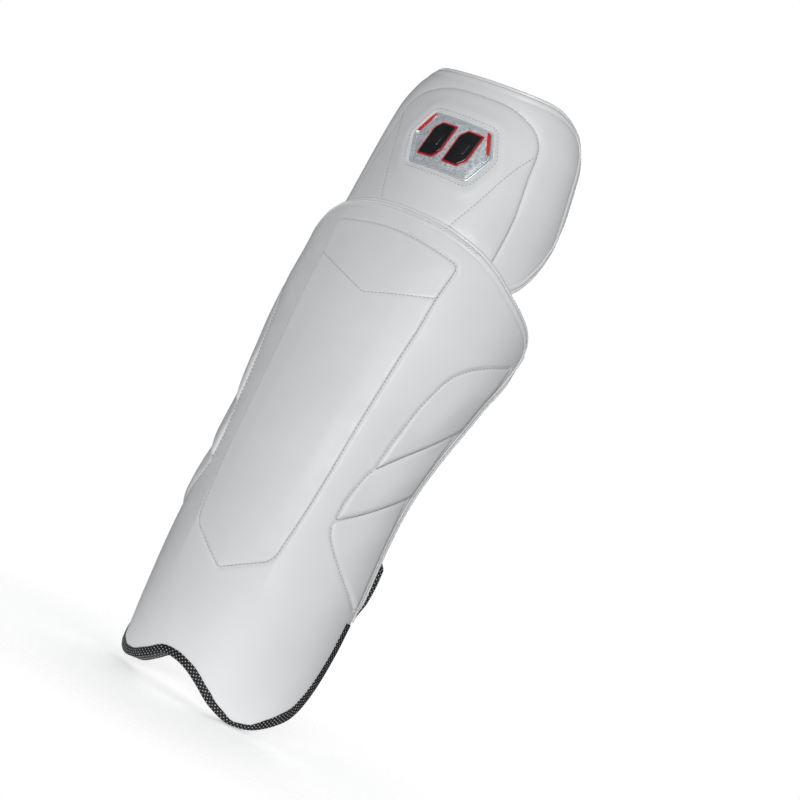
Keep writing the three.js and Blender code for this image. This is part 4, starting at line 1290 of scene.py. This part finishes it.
def trim_weave():
    """Black net binding over white: a diamond grid of small pale dots."""
    black = (0.006, 0.006, 0.007)
    paint = Paint("trim_net", black, 0.6, Specular_IOR_Level=0.25)
    where, s, t = paint.flats()
    k = math.pi / 2.05
    dots = s.wave(k) * t.wave(k)
    pale = dots.stretch(0.66, 0.84)
    paint.colour(pale * paint.noise(where, 0.35, 2).stretch(0.35, 0.6, 0.45, 1.0), black, (0.66, 0.66, 0.68))
    paint.bump(dots.math("ABSOLUTE") - pale, 0.35, 0.0003)
    return paint.mat


def striped():
    """White webbing with woven stripes: pale dashes, black, white, crimson squares, then twill."""
    paint = Paint("webbing_striped", (0.78, 0.79, 0.80), 0.72, Sheen_Weight=0.2)
    where, s, t = paint.flats()
    # t runs up the band, so the stripes count down from its top edge.
    u = (t / STRAP_WIDTH - 1.0) * -1.0

    def between(lo, hi):
        return u.stretch(lo - 0.002, lo + 0.002) * u.stretch(hi + 0.002, hi - 0.002)

    dash = s.wave(2 * math.pi / 2.6).math("GREATER_THAN", -0.1)
    square = (s.wave(2 * math.pi / 2.1).math("GREATER_THAN", -0.75)
              * t.wave(2 * math.pi / 2.1).math("GREATER_THAN", -0.7))
    fleck = paint.noise(where, 1.3, 2)
    white = paint.mixed(fleck.stretch(0.3, 0.7), (0.80, 0.805, 0.82), (0.68, 0.69, 0.715))
    blue = paint.mixed(dash, (0.74, 0.75, 0.77), (0.34, 0.39, 0.47))
    crimson = paint.mixed(square, (0.70, 0.22, 0.30), (0.50, 0.012, 0.07))
    banded = paint.mixed(between(0.07, 0.14), white, blue)
    banded = paint.mixed(between(0.155, 0.35), banded, (0.010, 0.010, 0.012))
    paint.colour(between(0.44, 0.53), banded, crimson)
    twill, rib = (s + t).wave(2 * math.pi / 1.15), t.wave(2 * math.pi / 0.8)
    paint.bump(twill + rib * 0.6, 0.45, 0.00025)
    return paint.mat


def pile(name, light, dark):
    """The looped and hooked faces of the tape."""
    paint = Paint(name, light, 0.95, Sheen_Weight=0.4)
    fuzz = paint.noise(paint.flats()[0], 1.8, 4, 0.7)
    paint.colour(fuzz.stretch(0.3, 0.7), dark, light)
    paint.bump(fuzz, 1.0, 0.0008)
    return paint.mat


def moulded(name, light, dark, roughness, grain, **sockets):
    """Moulded plastic with a fine eroded texture."""
    paint = Paint(name, light, roughness, **sockets)
    where = paint.place()
    worn = paint.noise(where, 60, 4, 0.6)
    paint.colour(worn.stretch(0.4, 0.75), light, dark)
    paint.drive("Roughness", worn.stretch(0.3, 0.75, roughness, roughness + 0.14))
    paint.bump(paint.noise(where, 900, 3, 0.6), grain, 0.00015)
    return paint.mat


def badge_metal():
    """Silver plastic with a crystalline, mottled ground."""
    paint = Paint("badge_silver", (0.6, 0.63, 0.66), 0.3, Metallic=0.35)
    where = paint.place()
    tone = paint.split(paint.voronoi("Color", {"Vector": where, "Scale": 520.0}, feature="F2"))[0]
    veins = paint.noise(where, 160, 5, 0.7)
    shade = (tone * 0.5).math("ADD", veins.stretch(0.3, 0.7, 0, 0.6), clamp=True)
    paint.colour(shade, (0.36, 0.40, 0.44), (0.74, 0.78, 0.81))
    paint.drive("Roughness", tone.stretch(0, 1, 0.22, 0.42))
    paint.bump(tone + veins, 0.5, 0.0003)
    return paint.mat


def twisted_thread(name, colour):
    """Twisted sewing thread."""
    paint = Paint(name, colour, 0.6, Sheen_Weight=0.2)
    twist = paint.value("TexWave", {"Vector": paint.place(), "Scale": 900.0, "Distortion": 1.0}, "Fac")
    paint.colour(twist, tuple(0.8 * c for c in colour), colour)
    paint.bump(twist, 0.4, 0.0001)
    return paint.mat


facing = leather("facing_coated", (0.71, 0.715, 0.725), (0.67, 0.675, 0.683), 0.42, 0.16)
cord_white = leather("cord_coated", (0.76, 0.765, 0.77), (0.70, 0.705, 0.71), 0.3, 0.12, Coat_Weight=0.2)
cord_black = leather("cord_black", (0.012, 0.012, 0.014), (0.02, 0.02, 0.022), 0.4, 0.2)
lining_cloth = cloth_white("lining_weave", (0.80, 0.80, 0.82), (0.70, 0.70, 0.73), 0.0011, 0.35)
board_sheet = cloth_white("board_sheet", (0.62, 0.58, 0.50), (0.52, 0.48, 0.41), 0.0035, 0.25, 0.7)
mesh_cloth = knit("mesh_knit", (0.80, 0.80, 0.82), (0.56, 0.57, 0.60))
print_cloth = printed()
trim_net = trim_weave()
webbing_cloth = striped()
tape_pile = pile("tape_pile", (0.80, 0.81, 0.83), (0.60, 0.61, 0.63))
buckle_plastic = moulded("buckle_moulded", (0.014, 0.014, 0.016), (0.035, 0.035, 0.038), 0.3, 0.25)
badge_black = moulded("badge_gloss_black", (0.008, 0.008, 0.010), (0.014, 0.014, 0.016), 0.16, 0.05,
                      Coat_Weight=0.4)
badge_red = moulded("badge_gloss_red", (0.60, 0.02, 0.03), (0.52, 0.015, 0.022), 0.2, 0.05, Coat_Weight=0.4)
badge_silver = badge_metal()
rim_metal = moulded("badge_rim_silver", (0.72, 0.75, 0.78), (0.60, 0.63, 0.66), 0.2, 0.1, Metallic=0.4)
thread = twisted_thread("thread_grey", (0.42, 0.43, 0.455))


def dress(obj, mat):
    obj.data.materials.clear()
    obj.data.materials.append(mat)
    return obj


# ---------------------------------------------------------------- each piece's material, the parts it replaces, and what it moves with
def ride(obj, body, mat, slot, *nodes):
    dress(obj, mat)
    if nodes:
        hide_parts(*nodes)
    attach(obj, body)
    return obj


for obj, cad in skin_pieces:
    ride(obj, "shin", facing, "facing", cad)
ride(shin_thread, "shin", thread, "facing")
ride(whip, "shin", cord_white, "piping")
ride(knee_arc, "shin", cord_white, "piping", "knee_arc_piping")
for obj, cad in side_cords:
    ride(obj, "shin", cord_white, "piping", cad)
for obj, black in rear_cords:
    ride(obj, "shin", trim_net if black else cord_white, "trim" if black else "piping")
ride(instep, "shin", trim_net, "trim", "instep_trim")
ride(lining, "shin", lining_cloth, "lining", "shin_lining")
for obj, cad in bolsters:
    ride(obj, "shin", mesh_cloth, "mesh", cad)
ride(cushion, "shin", print_cloth, "print", "centre_cushion")
for obj, cad in wings:
    body = "right_wing" if cad == "right_wing" else "left_wing"
    ride(obj, body, lining_cloth, "lining", cad)
for (obj, cad), cord in zip(wing_trims, wing_cords):
    body = cad.replace("_trim", "")
    ride(obj, body, trim_net, "trim", cad)
    ride(cord, body, lining_cloth, "lining")
for obj, cad in knee_pieces:
    ride(obj, "knee", facing, "facing", cad)
ride(knee_seam_thread, "knee", thread, "facing")
ride(knee_rim, "knee", cord_white, "piping", "knee_rim_piping")
ride(rim_binding_and_shade, "knee", cord_black, "trim")
ride(knee_lining, "knee", lining_cloth, "lining", "knee_lining")
ride(knee_pad, "knee", print_cloth, "print", "knee_cushion")
ride(knee_cord, "knee", cord_black, "trim", "knee_cushion_piping")
ride(plate, "knee", badge_silver, "silver", "badge_plate")
for obj in frame_lines:
    ride(obj, "knee", rim_metal, "silver")
for obj, cad in marks:
    ride(obj, "knee", badge_black, "black", *([cad] if cad else []))
for obj in outlines:
    ride(obj, "knee", badge_red, "red")
for obj, cad in bars:
    ride(obj, "knee", badge_red, "red", cad)
for cad in ("shin_stiffener", "knee_stiffener"):
    for place_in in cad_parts[cad].material_slots:
        place_in.material = board_sheet

dress(hinge_tape, lining_cloth)
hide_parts("knee_hinge_tape")
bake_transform(hinge_tape)
for name, s in STRAPS.items():
    dress(straps[name], webbing_cloth)
    dress(tails[name], webbing_cloth)
    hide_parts(f"{name}_strap_anchor", f"{name}_strap")
    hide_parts(f"{name}_strap_tail")
    r, y, h = s["reach"] / 1000, (s["plane"] + 1 - LEG_AXIS) / 1000, s["height"] / 1000
    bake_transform(straps[name])
    fold = (-s["reach"] + BUCKLE_IN + BAR_AT + 4.2) / 1000
    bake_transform(tails[name])
    ride(tabs[name], "left_wing", webbing_cloth, "webbing", f"{name}_buckle_tab")
    ride(buckles[name], f"{name}_buckle", buckle_plastic, "buckle", f"{name}_buckle")
    ride(loops[name], f"{name}_strap", tape_pile, "tape", f"{name}_loop_tape")
    ride(hooks[name], f"{name}_tail", tape_pile, "tape", f"{name}_hook_tape")


# ---------------------------------------------------------------- camera, light and floor
scene = bpy.context.scene
scene.view_settings.view_transform = "Standard"
camera = bpy.data.objects.new("camera", bpy.data.cameras.new("camera"))
scene.collection.objects.link(camera)
scene.camera = camera
camera.location = (0.630, -1.188, 0.210)
aim = Vector((0.086, -0.070, 0.326)) - camera.location
camera.rotation_mode = "QUATERNION"
camera.rotation_quaternion = aim.to_track_quat("-Z", "Y") @ Quaternion((0, 0, 1), math.radians(27.4))
camera.data.lens = 63.09
camera.data.clip_end = 50


def lamp(name, where, target, size, power, colour=(1, 1, 1)):
    data = bpy.data.lights.new(name, "AREA")
    data.size, data.energy, data.color = size, power, colour
    obj = bpy.data.objects.new(name, data)
    obj.location = where
    obj.rotation_mode = "QUATERNION"
    obj.rotation_quaternion = (Vector(target) - Vector(where)).to_track_quat("-Z", "Y")
    scene.collection.objects.link(obj)


middle_of_pad = (0, 0, 0.33)
lamp("key", (0.80, -2.28, 0.42), middle_of_pad, 1.0, 44, (1.0, 0.998, 0.99))
lamp("side", (2.2, -0.3, 0.5), middle_of_pad, 1.2, 8, (0.99, 0.995, 1.0))
lamp("back", (-0.7, 2.1, 0.9), middle_of_pad, 1.6, 34, (0.99, 0.995, 1.0))
lamp("top", (0.3, 0.5, 2.2), middle_of_pad, 1.4, 1.5)
lamp("left", (-2.2, 0.5, 0.6), middle_of_pad, 1.4, 6, (0.99, 0.995, 1.0))

world = bpy.data.worlds.new("studio")
scene.world = world
world.use_nodes = True
tree = world.node_tree
tree.nodes.clear()
out = tree.nodes.new("ShaderNodeOutputWorld")
seen, lit = tree.nodes.new("ShaderNodeBackground"), tree.nodes.new("ShaderNodeBackground")
seen.inputs["Color"].default_value = (1, 1, 1, 1)
lit.inputs["Color"].default_value = (0.90, 0.97, 1.0, 1)
lit.inputs["Strength"].default_value = 0.12
rays, both = tree.nodes.new("ShaderNodeLightPath"), tree.nodes.new("ShaderNodeMixShader")
tree.links.new(rays.outputs["Is Camera Ray"], both.inputs[0])
tree.links.new(lit.outputs[0], both.inputs[1])
tree.links.new(seen.outputs[0], both.inputs[2])
tree.links.new(both.outputs[0], out.inputs[0])

# A pale floor disc whose edge fades away.
bpy.ops.mesh.primitive_circle_add(vertices=96, radius=1.6, fill_type="NGON", location=(0, 0, -0.002))
floor = bpy.context.object
floor.name = "floor"
floor_paint = Paint("floor_pale", (0.93, 0.93, 0.93), 0.9, Emission_Color=(1, 1, 1, 1), Emission_Strength=0.42)
reach_out = floor_paint.value("VectorMath", {0: floor_paint.place()}, "Value", operation="LENGTH")
floor_paint.drive("Alpha", reach_out.stretch(0.07, 0.3, 1.0, 0.0))
dress(floor, floor_paint.mat)
